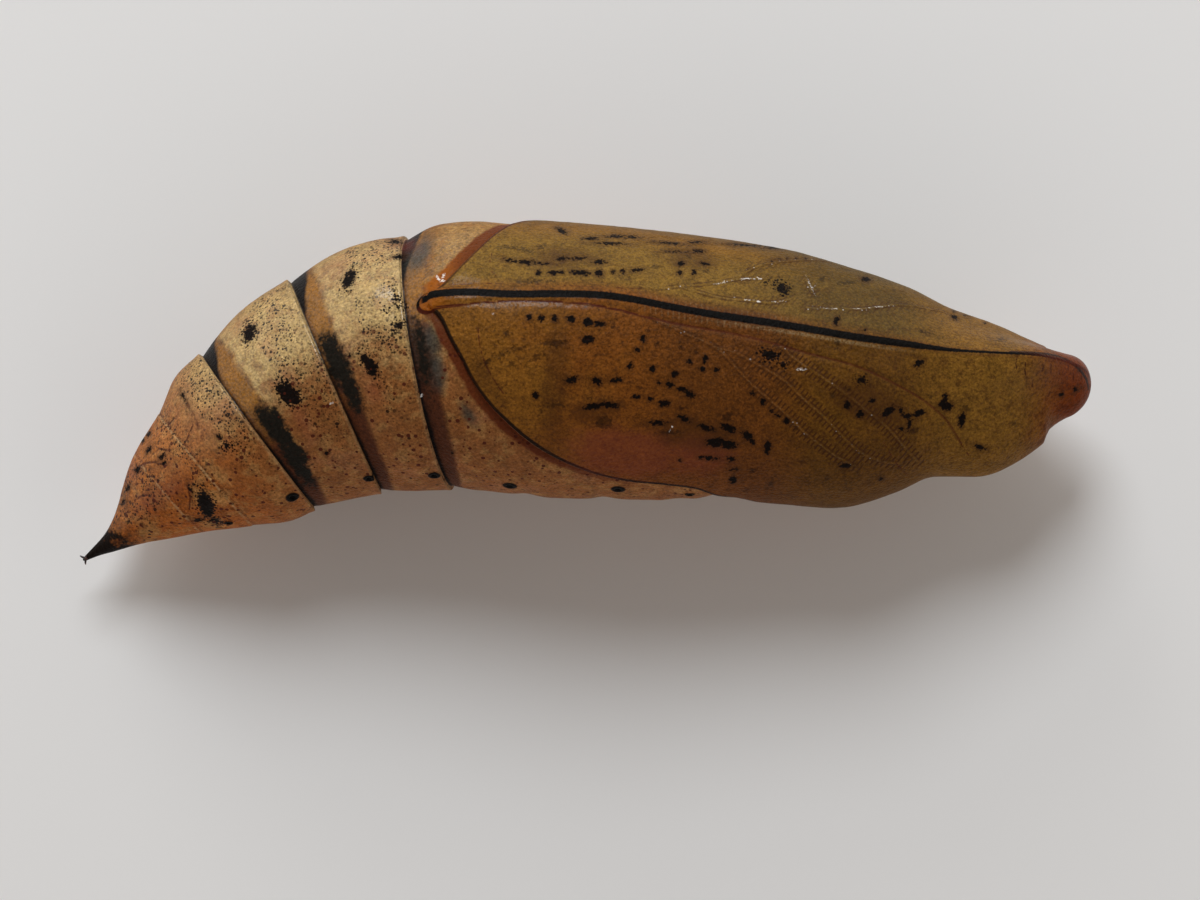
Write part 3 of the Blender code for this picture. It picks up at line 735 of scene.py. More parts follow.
def makeSkin(name):
    piece = pieces[name]
    rings, turns = ringPlaces(piece), columnTurns(piece)
    bm, places = flatGrid(len(rings), len(turns))
    for vert, (ring, column) in zip(bm.verts, places):
        vert.co = (rings[ring], turns[column] / turnScale, 0.0)
    bm.verts.index_update()

    s, turn = skinFlat(bm)
    _, fields = measure(s, turn)
    inMarks = np.maximum.reduce([fields[key] for key in ("fleck", "faint", "paintedGlint")])
    offLines = np.minimum.reduce([fields[key] for key in ("veins", "farVeins", "costa", "threads")])
    onTip = np.abs(keelTip(s, np.radians(turn) * plainRadius(s, np.abs(turn)))) < refining["tip"]
    onTip &= s < alongAt(keel["tipFade"][1])
    close = (inMarks > -refining["mark"]) | (offLines < refining["line"]) | onTip
    onEdge = np.abs(fields["inside"] + refining["edgeAside"]) < refining["edge"][0]
    onEdge &= s > tipOfWing - 0.05
    refine(bm, (close & isSeen(turn)) | onEdge | (fields["spiracle"] > -refining["hole"]))
    s, turn = skinFlat(bm)
    onEdge = np.abs(insideWing(s, turn) + refining["edgeAside"]) < refining["edge"][1]
    refine(bm, onEdge & (s > tipOfWing - 0.02) & isSeen(turn))

    s, turn = skinFlat(bm)
    placed, fields = measure(s, turn)
    placed = tuckIn(name, s, placed)
    fields["along"] = s
    fields["turn"] = turn
    fields["across"] = np.radians(turn) * plainRadius(s, np.abs(turn))
    fields["keelTip"] = keelTip(s, fields["across"])
    fields["band"] = bandField(s, turn, bandWidth)
    fields["wedge"] = bandField(s, turn, wedgeWidth)
    fields["joint"] = nearestJoint(s)
    layers = {key: bm.verts.layers.float.new(key) for key in fields}
    for i, vert in enumerate(bm.verts):
        vert.co = Vector(placed[i])
    for key, layer in layers.items():
        for vert, value in zip(bm.verts, fields[key].tolist()):
            vert[layer] = value
    bmesh.ops.remove_doubles(bm, verts=bm.verts, dist=weldDistance)
    bmesh.ops.triangulate(bm, faces=[face for face in bm.faces if len(face.verts) > 4])
    bmesh.ops.scale(bm, verts=bm.verts, vec=(mm, mm, mm))
    bmesh.ops.recalc_face_normals(bm, faces=bm.faces)
    made = addObject(bm, name)
    made.data.shade_smooth()
    triangles = sum(len(face.vertices) - 2 for face in made.data.polygons)
    print(f"  {name}: {triangles} triangles")
    return made


def addNode(tree, kind, values=None, **settings):  # a value is a socket to link, or a plain value
    made = tree.nodes.new(kind)
    for key, value in settings.items():
        setattr(made, key, value)
    for key, value in (values or {}).items():
        if isinstance(value, bpy.types.NodeSocket):
            tree.links.new(value, made.inputs[key])
        else:
            made.inputs[key].default_value = value
    return made


def mathOf(tree, operation, a, b=0.0):
    return addNode(tree, "ShaderNodeMath", {0: a, 1: b}, operation=operation).outputs[0]


def smoothStep(tree, value, low, high):
    values = {"Value": value, "From Min": low, "From Max": high}
    return addNode(tree, "ShaderNodeMapRange", values, interpolation_type="SMOOTHSTEP").outputs["Result"]


def mixColour(tree, factor, a, b):
    a, b = ((*colour, 1.0) if isinstance(colour, tuple) else colour for colour in (a, b))
    return addNode(tree, "ShaderNodeMix", {0: factor, 6: a, 7: b}, data_type="RGBA").outputs[2]


def colourRamp(tree, value, stops):
    made = addNode(tree, "ShaderNodeValToRGB", {"Fac": value})
    elements = made.color_ramp.elements
    while len(elements) < len(stops):
        elements.new(0.5)
    for element, (place, colour) in zip(elements, stops):
        element.position = place
        element.color = (*colour, 1.0)
    return made.outputs["Color"]


def newGroup(name, inputs, outputs):
    group = bpy.data.node_groups.new(name, "ShaderNodeTree")
    for label, value in inputs.items():
        socket = group.interface.new_socket(label, in_out="INPUT", socket_type="NodeSocketFloat")
        socket.default_value = value
    for label in outputs:
        group.interface.new_socket(label, in_out="OUTPUT", socket_type="NodeSocketFloat")
    return group, group.nodes.new("NodeGroupInput"), group.nodes.new("NodeGroupOutput")


def placeInMm(tree):
    place = addNode(tree, "ShaderNodeTexCoord").outputs["Object"]
    return addNode(tree, "ShaderNodeVectorMath", {0: place, "Scale": 1.0 / mm}, operation="SCALE").outputs[0]


def noiseAt(tree, place, scale, detail=2.0, roughness=0.5):
    values = {"Vector": place, "Scale": scale, "Detail": detail, "Roughness": roughness}
    return addNode(tree, "ShaderNodeTexNoise", values).outputs["Fac"]


def raggedMaskGroup():  # a field in millimetres becomes a mask with an uneven edge
    inputs = {"Field": 0.0, "Noise": 0.5, "Ragged": 0.05, "Soft": 0.02}
    group, given, result = newGroup("raggedMask", inputs, ["Mask"])
    field, wander, ragged, soft = (given.outputs[name] for name in inputs)
    sway = mathOf(group, "MULTIPLY", mathOf(group, "SUBTRACT", wander, 0.5), ragged)
    swayed = mathOf(group, "ADD", field, sway)
    mask = smoothStep(group, swayed, mathOf(group, "MULTIPLY", soft, -1.0), soft)
    group.links.new(mask, result.inputs["Mask"])
    return group


def fineDotsGroup():  # scattered round dots: Scale is cells per millimetre, Size is in cells
    inputs = {"Scale": 6.0, "Amount": 0.5, "Size": 0.2}
    group, given, result = newGroup("fineDots", inputs, ["Mask"])
    scale, amount, size = (given.outputs[name] for name in inputs)
    cells = addNode(group, "ShaderNodeTexVoronoi", {"Vector": placeInMm(group), "Scale": scale})
    pick = addNode(group, "ShaderNodeSeparateColor", {"Color": cells.outputs["Color"]})
    chosen = mathOf(group, "LESS_THAN", pick.outputs["Red"], amount)
    reach = mathOf(group, "MULTIPLY", size, mathOf(group, "ADD", pick.outputs["Green"], 0.45))
    dot = smoothStep(group, mathOf(group, "SUBTRACT", reach, cells.outputs["Distance"]), 0.0, 0.06)
    group.links.new(mathOf(group, "MULTIPLY", dot, chosen), result.inputs["Mask"])
    return group


def shellGrainGroup():  # fine wrinkles and pits of the cuticle, as a height
    group, given, result = newGroup("shellGrain", {"Wrinkle": 1.0, "Pits": 1.0}, ["Height"])
    place = placeInMm(group)
    fine = noiseAt(group, place, 14.0, 5.0, 0.65)
    broad = noiseAt(group, place, 3.5, 3.0, 0.5)
    cells = addNode(group, "ShaderNodeTexVoronoi", {"Vector": place, "Scale": 11.0}).outputs["Distance"]
    wrinkle = mathOf(group, "MULTIPLY", mathOf(group, "ADD", fine, broad), given.outputs["Wrinkle"])
    pits = mathOf(group, "MULTIPLY", cells, given.outputs["Pits"])
    group.links.new(mathOf(group, "ADD", wrinkle, pits), result.inputs["Height"])
    return group


raggedMask = raggedMaskGroup()
fineDots = fineDotsGroup()
shellGrain = shellGrainGroup()


def useGroup(tree, group, values):
    return addNode(tree, "ShaderNodeGroup", values, node_tree=group).outputs[0]


def newMaterial(name):
    material = bpy.data.materials.new(name)
    material.use_nodes = True
    return material, material.node_tree, material.node_tree.nodes["Principled BSDF"]


colours = {
    "ringPaleAndSheen": (0.440, 0.300, 0.118),
    "ringMid": (0.205, 0.080, 0.022),
    "ringLow": (0.235, 0.092, 0.029),
    "ringPink": (0.300, 0.130, 0.060),
    "ringPale": (0.420, 0.250, 0.085),
    "ringRust": (0.170, 0.050, 0.012),
    "ringFar": (0.240, 0.125, 0.042),
    "tailAmber": (0.325, 0.090, 0.013),
    "tailSpike": (0.0070, 0.0036, 0.0024),
    "bandAmber": (0.250, 0.105, 0.014),
    "bandBrown": (0.066, 0.020, 0.008),
    "bandDark": (0.007, 0.006, 0.006),
    "patchDark": (0.0085, 0.0072, 0.0048),
    "slate": (0.034, 0.036, 0.030),
    "wingOlive": (0.184, 0.074, 0.009),
    "wingAmber": (0.152, 0.048, 0.006),
    "wingRight": (0.100, 0.044, 0.005),
    "wingLow": (0.165, 0.048, 0.007),
    "wingFarAndSheen": (0.178, 0.096, 0.014),
    "farBrownAndShade": (0.090, 0.052, 0.010),
    "wingMottle": (0.048, 0.017, 0.004),
    "headAmber": (0.180, 0.086, 0.012),
    "headRed": (0.142, 0.027, 0.003),
    "stripe": (0.0020, 0.0014, 0.0010),
    "fleck": (0.0036, 0.0018, 0.0010),
    "redBrown": (0.060, 0.010, 0.004),
    "orange": (0.125, 0.026, 0.004),
    "yellow": (0.290, 0.078, 0.004),
    "edgeRed": (0.100, 0.020, 0.005),
    "pale": (0.420, 0.310, 0.160),
    "paintedGlint": (0.950, 0.930, 0.880),
    "blush": (0.210, 0.042, 0.024),
}


shell = {
    # scale per millimetre, detail and roughness of each noise
    "noises": {
        "broad": (0.9, 3.0, 0.55), "tint": (2.6, 3.0, 0.6), "spike": (3.0, 3.0, 0.7),
        "coarseEdge": (3.0, 3.0, 0.6), "mottle": (4.0, 4.0, 0.6), "gaps": (6.0, 3.0, 0.6),
        "middleEdge": (7.0, 3.0, 0.6), "cloud": (8.0, 3.0, 0.6), "fineEdge": (14.0, 3.0, 0.6),
        "grain": (15.0, 4.0, 0.75), "grit": (20.0, 3.0, 0.7),
    },
    # cells per millimetre, share of the cells with a dot, and size in cells
    "dots": {
        "large": (5.8, 0.80, 0.24), "small": (6.5, 0.42, 0.25), "pores": (9.0, 0.45, 0.24),
        "tiny": (11.0, 0.62, 0.32), "paintedSparkle": (11.0, 0.45, 0.20), "fuzz": (15.0, 0.9, 0.42),
        "finest": (17.0, 0.7, 0.36),
    },
    "grain": 2.7,  # contrast of the grain, and of the slow change of tone
    "tint": 0.9,
    "roughness": 0.34,
    "roughnessSpread": 0.22,
    "markRoughness": 0.14,
    "caseGloss": -0.78,  # the wing cases are duller than the rings
    "tailGloss": -0.65,
    "coatRoughness": 0.17,
    "specular": 0.05,
    "bumpStrength": 0.9,
    "bumpDepth": 0.030,
    # rungs beside the veins: their direction, and how closely they follow one another
    "rungAcross": (0.743, -0.669),
    "rungPitch": 57.0,
    "keelRungPitch": 48.0,
    "stripeAside": 0.02,  # the stripe's middle stands this far to the far side of the belly's
    "spikeLength": 1.18,
}


def shellMaterial():
    material, tree, shader = newMaterial("pupaShell")

    def chain(operation, values):
        result = values[0]
        for value in values[1:]:
            result = mathOf(tree, operation, result, value)
        return result

    def times(*values):
        return chain("MULTIPLY", values)

    def most(*values):
        return chain("MAXIMUM", values)

    def plus(*values):
        return chain("ADD", values)

    def minus(a, b):
        return mathOf(tree, "SUBTRACT", a, b)

    def size(value):
        return mathOf(tree, "ABSOLUTE", value)

    def wave(value):
        return mathOf(tree, "SINE", value)

    def step(value, low, high):
        return smoothStep(tree, value, low, high)

    def sway(wander, amount):  # a noise as a shift either way
        return times(plus(wander, -0.5), amount)

    def paint(under, colour, mask, strength=1.0):
        mask = times(mask, strength) if strength < 1.0 else mask
        return mixColour(tree, mask, under, colours[colour] if isinstance(colour, str) else colour)

    def ragged(key, amount, wander, soft):
        field = fields[key] if isinstance(key, str) else key
        return useGroup(tree, raggedMask, {"Field": field, "Noise": wander, "Ragged": amount, "Soft": soft})

    def dots(name):
        scale, amount, dotSize = shell["dots"][name]
        return useGroup(tree, fineDots, {"Scale": scale, "Amount": amount, "Size": dotSize})

    def at(x):  # distance along the spine at a spine x
        return float(alongAt(x))

    def byFacing(stops):  # a tone for each way that the skin faces
        tones = [(place, colours[name]) for place, name in stops]
        return colourRamp(tree, plus(times(facing, 1.0 / 360.0), 0.5), tones)

    places = ("along", "turn", "across", "inside", "joint", "spiracle", "keelTip", "band", "wedge")
    place = placeInMm(tree)
    axes = addNode(tree, "ShaderNodeSeparateXYZ", {0: place}).outputs
    x, y = axes["X"], axes["Y"]
    fields = {}
    for key in (*lines, *marks, *places):
        fields[key] = addNode(tree, "ShaderNodeAttribute", attribute_name=key).outputs["Fac"]
    along, turn, across, inside, joint = (fields[key] for key in places[:5])
    noises = {name: noiseAt(tree, place, *values) for name, values in shell["noises"].items()}
    broad, mottle, grit = noises["broad"], noises["mottle"], noises["grit"]
    coarseEdge, middleEdge, fineEdge = noises["coarseEdge"], noises["middleEdge"], noises["fineEdge"]

    # rings of the abdomen, by the way they face: pale on the upper middle, partly the rings' own tone and
    # partly a painted sheen on the side towards the key light; browner down the near flank
    facing = plus(turn, sway(broad, 50.0), sway(mottle, 30.0))
    skin = byFacing((
        (0.10, "ringLow"), (0.28, "ringFar"), (0.40, "ringPaleAndSheen"), (0.50, "ringPaleAndSheen"), (0.575, "ringMid"),
        (0.78, "ringLow"),
    ))
    skin = paint(skin, "ringPink", step(broad, 0.50, 0.68), 0.45)
    skin = paint(skin, "tailAmber", step(along, 5.6, 3.2), 0.85)
    palePlaces = times(step(along, 4.4, 3.6), step(broad, 0.48, 0.60), step(turn, 0.0, 30.0))
    skin = paint(skin, "ringPale", palePlaces, 0.40)
    skin = paint(skin, "ringRust", times(step(along, 2.6, 1.6), step(mottle, 0.44, 0.60)), 0.45)
    farFlank = times(step(x, -4.0, -3.6), step(turn, 10.0, -10.0))  # beside the far wing case
    skin = paint(skin, "bandAmber", farFlank, 0.62)
    skin = paint(skin, "bandBrown", times(farFlank, step(middleEdge, 0.52, 0.62)), 0.35)
    amber = times(farFlank, step(along, at(-2.6), at(-3.2)))
    skin = paint(paint(skin, "bandAmber", amber, 0.75), "bandBrown", amber, 0.26)
    skin = paint(skin, "ringLow", step(mottle, 0.50, 0.72), 0.45)
    skin = paint(skin, "ringPale", step(coarseEdge, 0.50, 0.64), 0.28)
    skin = paint(skin, "ringRust", step(coarseEdge, 0.47, 0.36), 0.30)

    # soft bands ahead of the ring joints
    bandTone = byFacing((
        (0.00, "bandBrown"), (0.30, "bandBrown"), (0.40, "bandAmber"), (0.53, "bandAmber"),
        (0.60, "bandBrown"), (1.00, "bandBrown"),
    ))
    bandMask = ragged("band", 0.22, coarseEdge, 0.10)
    skin = mixColour(tree, bandMask, skin, bandTone)
    skin = paint(skin, "bandBrown", times(bandMask, step(joint, 0.16, 0.04)), 0.5)
    bandRim = times(bandMask, step(fields["band"], 0.09, 0.02), step(mottle, 0.40, 0.54))
    skin = paint(skin, "bandBrown", bandRim, 0.7)
    frontBand = times(bandMask, step(along, at(-4.1), at(-3.8)), step(facing, -6.0, 8.0))
    skin = paint(skin, "bandBrown", frontBand, 0.85)
    skin = paint(skin, "bandDark", times(frontBand, step(joint, 0.30, 0.05), step(facing, 70.0, 30.0)), 0.6)
    wedge = ragged("wedge", 0.14, coarseEdge, 0.05)
    skin = paint(skin, "bandDark", wedge)
    skin = paint(skin, "slate", ragged("slate", 0.20, coarseEdge, 0.12), 0.85)
    patch = ragged(plus(fields["patch"], 0.04), 0.44, middleEdge, 0.09)
    skin = paint(skin, "patchDark", patch)
    ledge = step(along, 3.6, 4.6)
    # painted highlight: a pale line on the rim of the ring behind each joint; painted shade: a dark line in
    # the joint's crack
    skin = paint(skin, "pale", times(step(joint, -0.12, -0.03), step(joint, 0.0, -0.02), ledge), 0.22)
    skin = paint(skin, "bandDark", times(step(joint, -0.014, 0.0), step(joint, 0.045, 0.0), ledge), 0.85)

    # the shallow joints of the tail, as a pale line with a red-brown one ahead of it
    tailLine = times(minus(1.0, ledge), step(along, 0.9, 1.4))
    behind = step(size(plus(joint, 0.03)), 0.04, 0.01)
    ahead = step(size(plus(joint, -0.03)), 0.05, 0.01)
    skin = paint(skin, "pale", times(behind, tailLine, step(mottle, 0.36, 0.5)), 0.40)
    skin = paint(skin, "redBrown", times(ahead, tailLine, step(grit, 0.40, 0.58)), 0.60)

    # wing cases: olive and amber, redder low on the near side, paler on the far side partly as a painted
    # sheen, and darker towards the far outline as painted shade
    ripe = plus(x, sway(broad, 6.0))  # the near case is redder in its middle
    case = mixColour(tree, step(ripe, -2.2, 1.2), colours["wingOlive"], colours["wingAmber"])
    case = paint(case, "wingMottle", times(step(x, 1.0, 2.6), step(x, 5.6, 4.2)), 0.42)
    case = paint(case, "wingRight", step(x, 4.0, 5.6), 0.9)
    case = paint(case, "wingLow", times(step(turn, 44.0, 76.0), step(x, 4.6, 2.0)), 0.6)
    far = paint(colours["wingFarAndSheen"], "wingOlive", step(turn, -26.0, -52.0), 0.6)
    far = paint(far, "farBrownAndShade", step(x, 2.6, 6.0), 0.9)
    # painted shade: the far case darker towards its outline
    far = paint(far, "farBrownAndShade", step(plus(turn, times(mottle, 16.0)), -38.0, -56.0), 0.5)
    case = mixColour(tree, step(turn, -2.0, -9.0), case, far)
    case = paint(case, "headAmber", step(x, 7.0, 9.0))
    case = paint(case, "headRed", step(plus(x, times(mottle, 0.8)), 10.3, 11.9))
    case = paint(case, "wingMottle", times(step(noises["cloud"], 0.50, 0.68), step(turn, -60.0, 0.0)), 0.40)
    case = paint(case, "wingMottle", step(mottle, 0.50, 0.74), 0.30)
    case = paint(case, "wingMottle", step(grit, 0.50, 0.72), 0.28)
    case = paint(case, "ringMid", step(grit, 0.48, 0.30), 0.16)

    keelEnd, fadeLow, fadeHigh = (at(spineX) for spineX in (keel["end"], *keel["tipFade"]))
    onTip = times(step(fields["keelTip"], -0.01, 0.015), step(along, fadeHigh, fadeLow))
    onKeel = times(step(size(across), 0.26, 0.20), step(along, keelEnd + 0.1, keelEnd + 0.2))
    toHead = step(plus(x, sway(broad, 5.0)), 6.0, 10.0)
    cased = most(step(inside, -0.02, 0.02), toHead, onKeel, onTip)
    skin = mixColour(tree, cased, skin, case)
    speck = plus(sway(noises["grain"], shell["grain"]), 1.0, sway(noises["tint"], shell["tint"]))
    skin = addNode(tree, "ShaderNodeVectorMath", {0: skin, "Scale": speck}, operation="SCALE").outputs[0]
    skin = paint(skin, "wingMottle", times(dots("pores"), cased), 0.34)

    # the free edge: an orange strip outside it, and painted shadow as a dark line in its crease
    byTip = step(along, at(-3.32), at(-3.05))
    farSide = step(turn, 0.0, -6.0)
    stripEdge = plus(inside, times(mottle, 0.16), times(farSide, 0.13))
    strip = times(step(stripEdge, -0.24, -0.14), step(inside, 0.0, -0.03), byTip)
    strip = times(strip, step(along, at(2.6), at(-1.2)))
    farTone = mixColour(tree, step(along, at(-3.0), at(-2.3)), colours["yellow"], colours["orange"])
    skin = paint(skin, mixColour(tree, farSide, colours["edgeRed"], farTone), strip, 0.94)
    skin = paint(skin, "yellow", times(onTip, step(along, at(-2.2), at(-3.2))), 0.80)
    line = size(plus(inside, 0.018, times(step(size(turn), 30.0, 62.0), -0.060)))
    line = step(plus(line, times(farSide, -0.022)), 0.068, 0.030)
    creaseShadow = times(line, byTip, step(x, 6.4, 4.4), step(fields["keelTip"], 0.03, -0.01))
    skin = paint(skin, "fleck", times(creaseShadow, step(turn, -30.0, 10.0)), 0.95)
    skin = paint(skin, "redBrown", times(creaseShadow, step(turn, 10.0, -30.0)), 0.90)

    # veins with rungs beside them, rungs across the keel, and its pale edge, which is partly a painted
    # highlight
    vein = mathOf(tree, "MINIMUM", fields["veins"], fields["farVeins"])
    acrossX, acrossY = shell["rungAcross"]
    rung = step(wave(times(plus(times(x, acrossX), times(y, acrossY)), shell["rungPitch"])), 0.1, 0.8)
    rung = times(rung, step(vein, 0.20, 0.16), step(vein, 0.02, 0.05), plus(times(farSide, -0.5), 0.95))
    skin = paint(skin, "wingMottle", times(rung, step(x, 3.0, 4.2), cased))
    rung = step(wave(plus(times(along, shell["keelRungPitch"]), times(mottle, 5.0))), 0.3, 0.9)
    rung = times(rung, step(size(across), 0.27, 0.20), step(x, 0.9, 1.8), step(x, 5.4, 4.4))
    skin = paint(skin, "pale", times(rung, step(grit, 0.40, 0.60)), 0.16)
    # a pale line beside the stripe: partly the case's own paler tone and partly a painted highlight along the
    # keel's edge
    edge = times(step(size(plus(across, -0.13)), 0.07, 0.01), step(x, 2.4, 4.4), step(x, 8.0, 6.4))
    skin = paint(skin, "pale", times(edge, step(grit, 0.36, 0.62)), 0.34)
    skin = paint(skin, "pale", times(step(vein, 0.026, 0.008), step(grit, 0.46, 0.62)), 0.15)
    veinSides = times(step(vein, 0.085, 0.055), step(vein, 0.018, 0.042), step(mottle, 0.36, 0.56))
    skin = paint(skin, "wingMottle", veinSides, 0.7)

    # other lines, stains and flecks
    costa = step(plus(fields["costa"], times(grit, 0.024)), 0.056, 0.026)
    skin = paint(skin, "redBrown", times(costa, plus(times(step(x, 0.0, 4.0), -0.35), 0.92)))
    threadEdge = plus(times(step(along, at(-8.0), at(-9.0)), 0.008), 0.030)
    thread = minus(threadEdge, plus(fields["threads"], times(grit, 0.02)))
    thread = times(step(thread, -0.008, 0.012), step(noises["gaps"], 0.42, 0.52))
    skin = paint(skin, "redBrown", thread, 0.80)
    skin = paint(skin, "tailSpike", times(thread, step(x, 9.6, 10.2)), 0.55)
    skin = paint(skin, "tailSpike", step(plus(fields["rim"], times(grit, 0.03)), 0.075, 0.045), 0.90)
    skin = paint(skin, "redBrown", times(step(fields["creases"], 0.07, 0.02), step(mottle, 0.4, 0.6)), 0.6)
    skin = paint(skin, "blush", ragged("blush", 0.45, coarseEdge, 0.20), 0.38)
    skin = paint(skin, "wingMottle", ragged("shade", 0.34, coarseEdge, 0.15), 0.50)
    skin = paint(skin, "fleck", ragged("faint", 0.26, fineEdge, 0.035), 0.58)
    skin = paint(skin, "wingMottle", ragged(plus(fields["fleck"], 0.045), 0.12, middleEdge, 0.05), 0.45)
    fleck = ragged("fleck", 0.19, fineEdge, 0.016)
    skin = paint(skin, "fleck", fleck)
    fuzz = times(dots("fuzz"), ragged(plus(fields["fuzz"], 0.06), 0.30, middleEdge, 0.05))
    fuzz = most(fuzz, ragged(plus(fields["fuzz"], -0.05), 0.36, fineEdge, 0.02))
    skin = paint(skin, "fleck", fuzz)

    # fine dots all over the rings: black on the upper middle, larger and red-brown low down
    free = times(minus(1.0, cased), step(bandMask, 0.6, 0.1))
    byJoint = step(plus(joint, times(mottle, 0.8)), 0.9, 0.2)
    crowded = plus(times(step(broad, 0.34, 0.54), byJoint, 0.75), 0.25)
    skin = paint(skin, "fleck", times(dots("tiny"), free, step(turn, 62.0, 8.0), crowded), 0.95)
    crowdOnly = times(step(turn, 80.0, 20.0), step(crowded, 0.35, 0.95))
    skin = paint(skin, "fleck", times(dots("finest"), free, crowdOnly), 0.85)
    skin = paint(skin, "fleck", times(dots("small"), free, crowded), 0.88)
    lowDown = most(step(facing, 2.0, 26.0), step(along, 4.4, 3.4))
    skin = paint(skin, "redBrown", times(dots("large"), free, lowDown), 0.92)
    skin = paint(skin, "redBrown", step(grit, 0.52, 0.74), 0.22)

    # stripe down the belly, curling round the keel's blunt tip
    fromStripe = size(plus(across, shell["stripeAside"]))
    halfWidth = plus(times(step(x, 7.0, 9.2), -0.056), keel["stripe"])
    stripe = minus(plus(halfWidth, sway(grit, 0.055)), fromStripe)
    stripe = times(step(stripe, -0.014, 0.014), step(along, keelEnd + 0.06, keelEnd + 0.16))
    rimWidth = plus(times(step(along, keelEnd + 0.50, keelEnd + 0.10), 0.028), 0.012)
    rimWidth = times(rimWidth, plus(times(step(across, -0.25, 0.0), 0.7), 0.3))
    curl = step(minus(rimWidth, size(plus(fields["keelTip"], -0.02))), -0.012, 0.012)
    curl = times(curl, step(along, keelEnd + 1.3, keelEnd + 0.6), step(along, keelEnd - 0.3, keelEnd - 0.2))
    halo = times(step(plus(fromStripe, times(grit, 0.03)), 0.14, 0.10), cased)
    skin = paint(skin, "redBrown", halo, 0.25)
    skin = paint(skin, paint(colours["stripe"], "redBrown", step(across, 0.04, 0.20)), curl)
    skin = paint(skin, paint(colours["stripe"], "redBrown", step(x, 10.0, 11.3)), stripe)

    # breathing holes, the black point of the tail, and painted highlights as pale sparks along the far veins
    skin = paint(skin, "stripe", step(fields["spiracle"], -0.28, -0.02))
    spike = step(plus(minus(shell["spikeLength"], along), sway(noises["spike"], 2.2)), -0.25, 0.35)
    skin = paint(skin, "tailSpike", spike)
    byFarVein = times(step(fields["farVeins"], 0.08, 0.04), step(x, 1.2, 2.4))
    byVein = most(byFarVein, times(step(fields["veins"], 0.06, 0.03), 0.5))
    paintedSparkle = times(dots("paintedSparkle"), byVein, step(x, 7.6, 6.6))
    paintedGlints = times(ragged("paintedGlint", 0.09, fineEdge, 0.010), step(grit, 0.42, 0.54))
    skin = paint(skin, "paintedGlint", most(times(paintedSparkle, 0.6), paintedGlints), 0.75)
    tree.links.new(skin, shader.inputs["Base Color"])

    rough = plus(times(mottle, shell["roughnessSpread"]), shell["roughness"])
    rough = plus(rough, times(fleck, shell["markRoughness"]))
    tree.links.new(rough, shader.inputs["Roughness"])
    height = useGroup(tree, shellGrain, {"Wrinkle": 1.0, "Pits": 0.6})
    bumpValues = {"Height": height, "Strength": shell["bumpStrength"], "Distance": shell["bumpDepth"] * mm}
    bump = addNode(tree, "ShaderNodeBump", bumpValues)
    tree.links.new(bump.outputs["Normal"], shader.inputs["Normal"])

    # a clear gloss on top of the body, and none on the black marks
    black = most(fleck, fuzz, stripe, curl, patch, wedge, strip, creaseShadow, spike)
    onTop = times(step(turn, 40.0, 4.0), step(turn, -52.0, -16.0), step(grit, 0.38, 0.54))
    gloss = times(plus(times(cased, shell["caseGloss"]), 1.0), onTop)
    gloss = times(gloss, plus(times(step(along, 6.5, 3.5), shell["tailGloss"]), 1.0))
    tree.links.new(times(gloss, plus(times(black, -0.95), 1.0)), shader.inputs["Coat Weight"])
    shader.inputs["Coat Roughness"].default_value = shell["coatRoughness"]
    shader.inputs["Specular IOR Level"].default_value = shell["specular"]
    return material


tailHooks = {
    "root": (-11.82, -3.94, 1.32),
    "heading": 215.0,  # degrees from +X, seen from above
    "spread": (-26.0, 22.0),
    "length": 0.17,
    "radius": 0.030,
    "curl": 46.0,  # degrees that each hook bends over its length
    "rise": 0.10,
    "blunt": 0.3,
    "steps": 8,
    "sides": 12,
}


def hookWidth(done):  # how wide a hook is, part of the way along: a rounded point
    return math.sqrt(1.0 - (done / (tailHooks["steps"] + tailHooks["blunt"])) ** 2)


def sweepHook(bm, spread):  # a circle drawn out along a bend
    turned = math.radians(tailHooks["heading"] + spread)
    stride = tailHooks["length"] / tailHooks["steps"]
    start = {"segments": tailHooks["sides"], "radius": tailHooks["radius"], "cap_ends": True}
    ring = bmesh.ops.create_circle(bm, **start)["verts"]
    facing = Vector((math.cos(turned), math.sin(turned), tailHooks["rise"]))
    bmesh.ops.rotate(bm, verts=ring, matrix=facing.to_track_quat("Z", "Y").to_matrix())
    bmesh.ops.translate(bm, verts=ring, vec=tailHooks["root"])
    edges = list({edge for vert in ring for edge in vert.link_edges})
    middle = Vector(tailHooks["root"])
    bend = math.radians(tailHooks["curl"]) / tailHooks["steps"] * (1.0 if spread > 0 else -1.0)
    spin = Matrix.Rotation(bend, 3, "Z")
    for i in range(tailHooks["steps"]):
        drawn = bmesh.ops.extrude_edge_only(bm, edges=edges)["geom"]
        ring = [g for g in drawn if isinstance(g, bmesh.types.BMVert)]
        edges = [g for g in drawn if isinstance(g, bmesh.types.BMEdge)]
        facing = spin @ facing
        bmesh.ops.translate(bm, verts=ring, vec=facing * stride)
        middle = middle + facing * stride
        bmesh.ops.rotate(bm, verts=ring, cent=middle, matrix=spin)
        narrow = hookWidth(i + 1) / hookWidth(i)
        bmesh.ops.scale(bm, verts=ring, vec=(narrow, narrow, narrow), space=Matrix.Translation(-middle))
    bmesh.ops.contextual_create(bm, geom=edges)


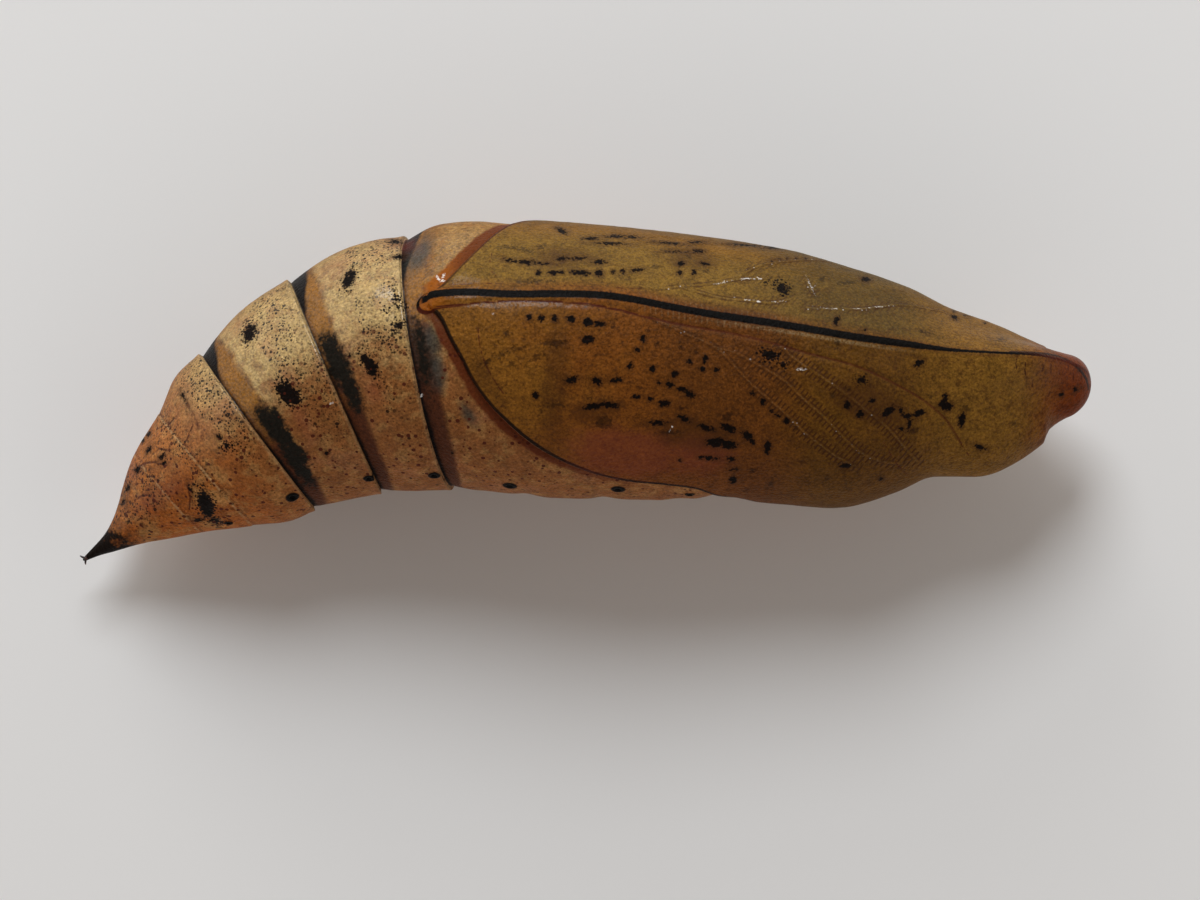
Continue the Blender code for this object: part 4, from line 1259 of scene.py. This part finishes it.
def hornMaterial():
    material, tree, shader = newMaterial("tailHorn")
    mottle = noiseAt(tree, placeInMm(tree), 12.0, 3.0, 0.6)
    tone = mixColour(tree, smoothStep(tree, mottle, 0.4, 0.7), colours["tailSpike"], colours["redBrown"])
    tree.links.new(tone, shader.inputs["Base Color"])
    rough = mathOf(tree, "ADD", mathOf(tree, "MULTIPLY", mottle, 0.3), 0.25)
    tree.links.new(rough, shader.inputs["Roughness"])
    height = useGroup(tree, shellGrain, {"Wrinkle": 0.6, "Pits": 0.2})
    bump = addNode(tree, "ShaderNodeBump", {"Height": height, "Strength": 0.5, "Distance": 0.006 * mm})
    tree.links.new(bump.outputs["Normal"], shader.inputs["Normal"])
    return material


def makeHooks():
    bm = bmesh.new()
    for spread in tailHooks["spread"]:
        sweepHook(bm, spread)
    bmesh.ops.scale(bm, verts=bm.verts, vec=(mm, mm, mm))
    bmesh.ops.recalc_face_normals(bm, faces=bm.faces)
    hooks = addObject(bm, "tailHooks")
    hooks.data.shade_smooth()
    hooks.data.materials.append(hornMaterial())
    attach(hooks, "root")
    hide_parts("pupa")


shellFinish = shellMaterial()
for name in pieces:
    skin = makeSkin(name)
    skin.data.materials.append(shellFinish)
    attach(skin, "root")
    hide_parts("pupa")
makeHooks()
print("stage 3: skin and tail hooks made")

studio = {
    "viewCentre": (0.34, -1.39, 3.2),  # what the middle of the picture looks at
    "viewWidth": 28.2,
    "lens": 300.0,
    "sensor": 36.0,
    "floorSize": 260.0,
    "floorColour": (0.80, 0.80, 0.79),
    "wallColour": (1.00, 0.90, 0.83),
    "ceilingColour": (0.02, 0.02, 0.02),
    "wallTop": 0.42,  # heights of a direction, from 0 level to 1 straight up
    "ceilingFrom": 0.80,
    # name, place, size, power, colour
    "lights": (
        ("keyLight", (-20.0, 165.0, 165.0), 110.0, 0.34, (0.95, 1.0, 1.05)),
        ("lowLight", (-60.0, 215.0, 85.0), 80.0, 0.09, (1.0, 1.0, 1.0)),
    ),
}


def makeFloor():
    bm = bmesh.new()
    bmesh.ops.create_grid(bm, x_segments=1, y_segments=1, size=studio["floorSize"] / 2 * mm)
    floor = addObject(bm, "floor")
    material, _, shader = newMaterial("paleFloor")
    shader.inputs["Base Color"].default_value = (*studio["floorColour"], 1.0)
    shader.inputs["Roughness"].default_value = 0.9
    floor.data.materials.append(material)


def areaLight(name, place, size, power, colour):
    data = bpy.data.lights.new(name, "AREA")
    data.shape = "DISK"
    data.size = size * mm
    data.energy = power
    data.color = colour
    light = bpy.data.objects.new(name, data)
    light.location = Vector(place) * mm
    light.rotation_euler = (-light.location).to_track_quat("-Z", "Y").to_euler()
    bpy.context.scene.collection.objects.link(light)


def makeCamera():
    data = bpy.data.cameras.new("camera")
    data.lens = studio["lens"]
    data.sensor_width = studio["sensor"]
    data.clip_start = 0.01
    data.clip_end = 2.0
    camera = bpy.data.objects.new("camera", data)
    x, y, z = studio["viewCentre"]
    distance = studio["viewWidth"] * studio["lens"] / studio["sensor"]
    camera.location = (x * mm, y * mm, (z + distance) * mm)
    bpy.context.scene.collection.objects.link(camera)
    bpy.context.scene.camera = camera


def makeWorld():  # soft light from the walls and a dim ceiling, so the shell keeps its deep colours
    world = bpy.data.worlds.new("studio")
    world.use_nodes = True
    tree = world.node_tree
    direction = addNode(tree, "ShaderNodeTexCoord").outputs["Generated"]
    upward = addNode(tree, "ShaderNodeSeparateXYZ", {0: direction}).outputs["Z"]
    wall, ceiling = studio["wallColour"], studio["ceilingColour"]
    stops = ((0.0, wall), (studio["wallTop"], wall), (studio["ceilingFrom"], ceiling))
    tone = colourRamp(tree, upward, stops)
    tree.links.new(tone, tree.nodes["Background"].inputs["Color"])
    bpy.context.scene.world = world


makeFloor()
for light in studio["lights"]:
    areaLight(*light)
makeWorld()
bpy.context.scene.view_settings.view_transform = "Standard"
makeCamera()
print("stage 4: studio set")
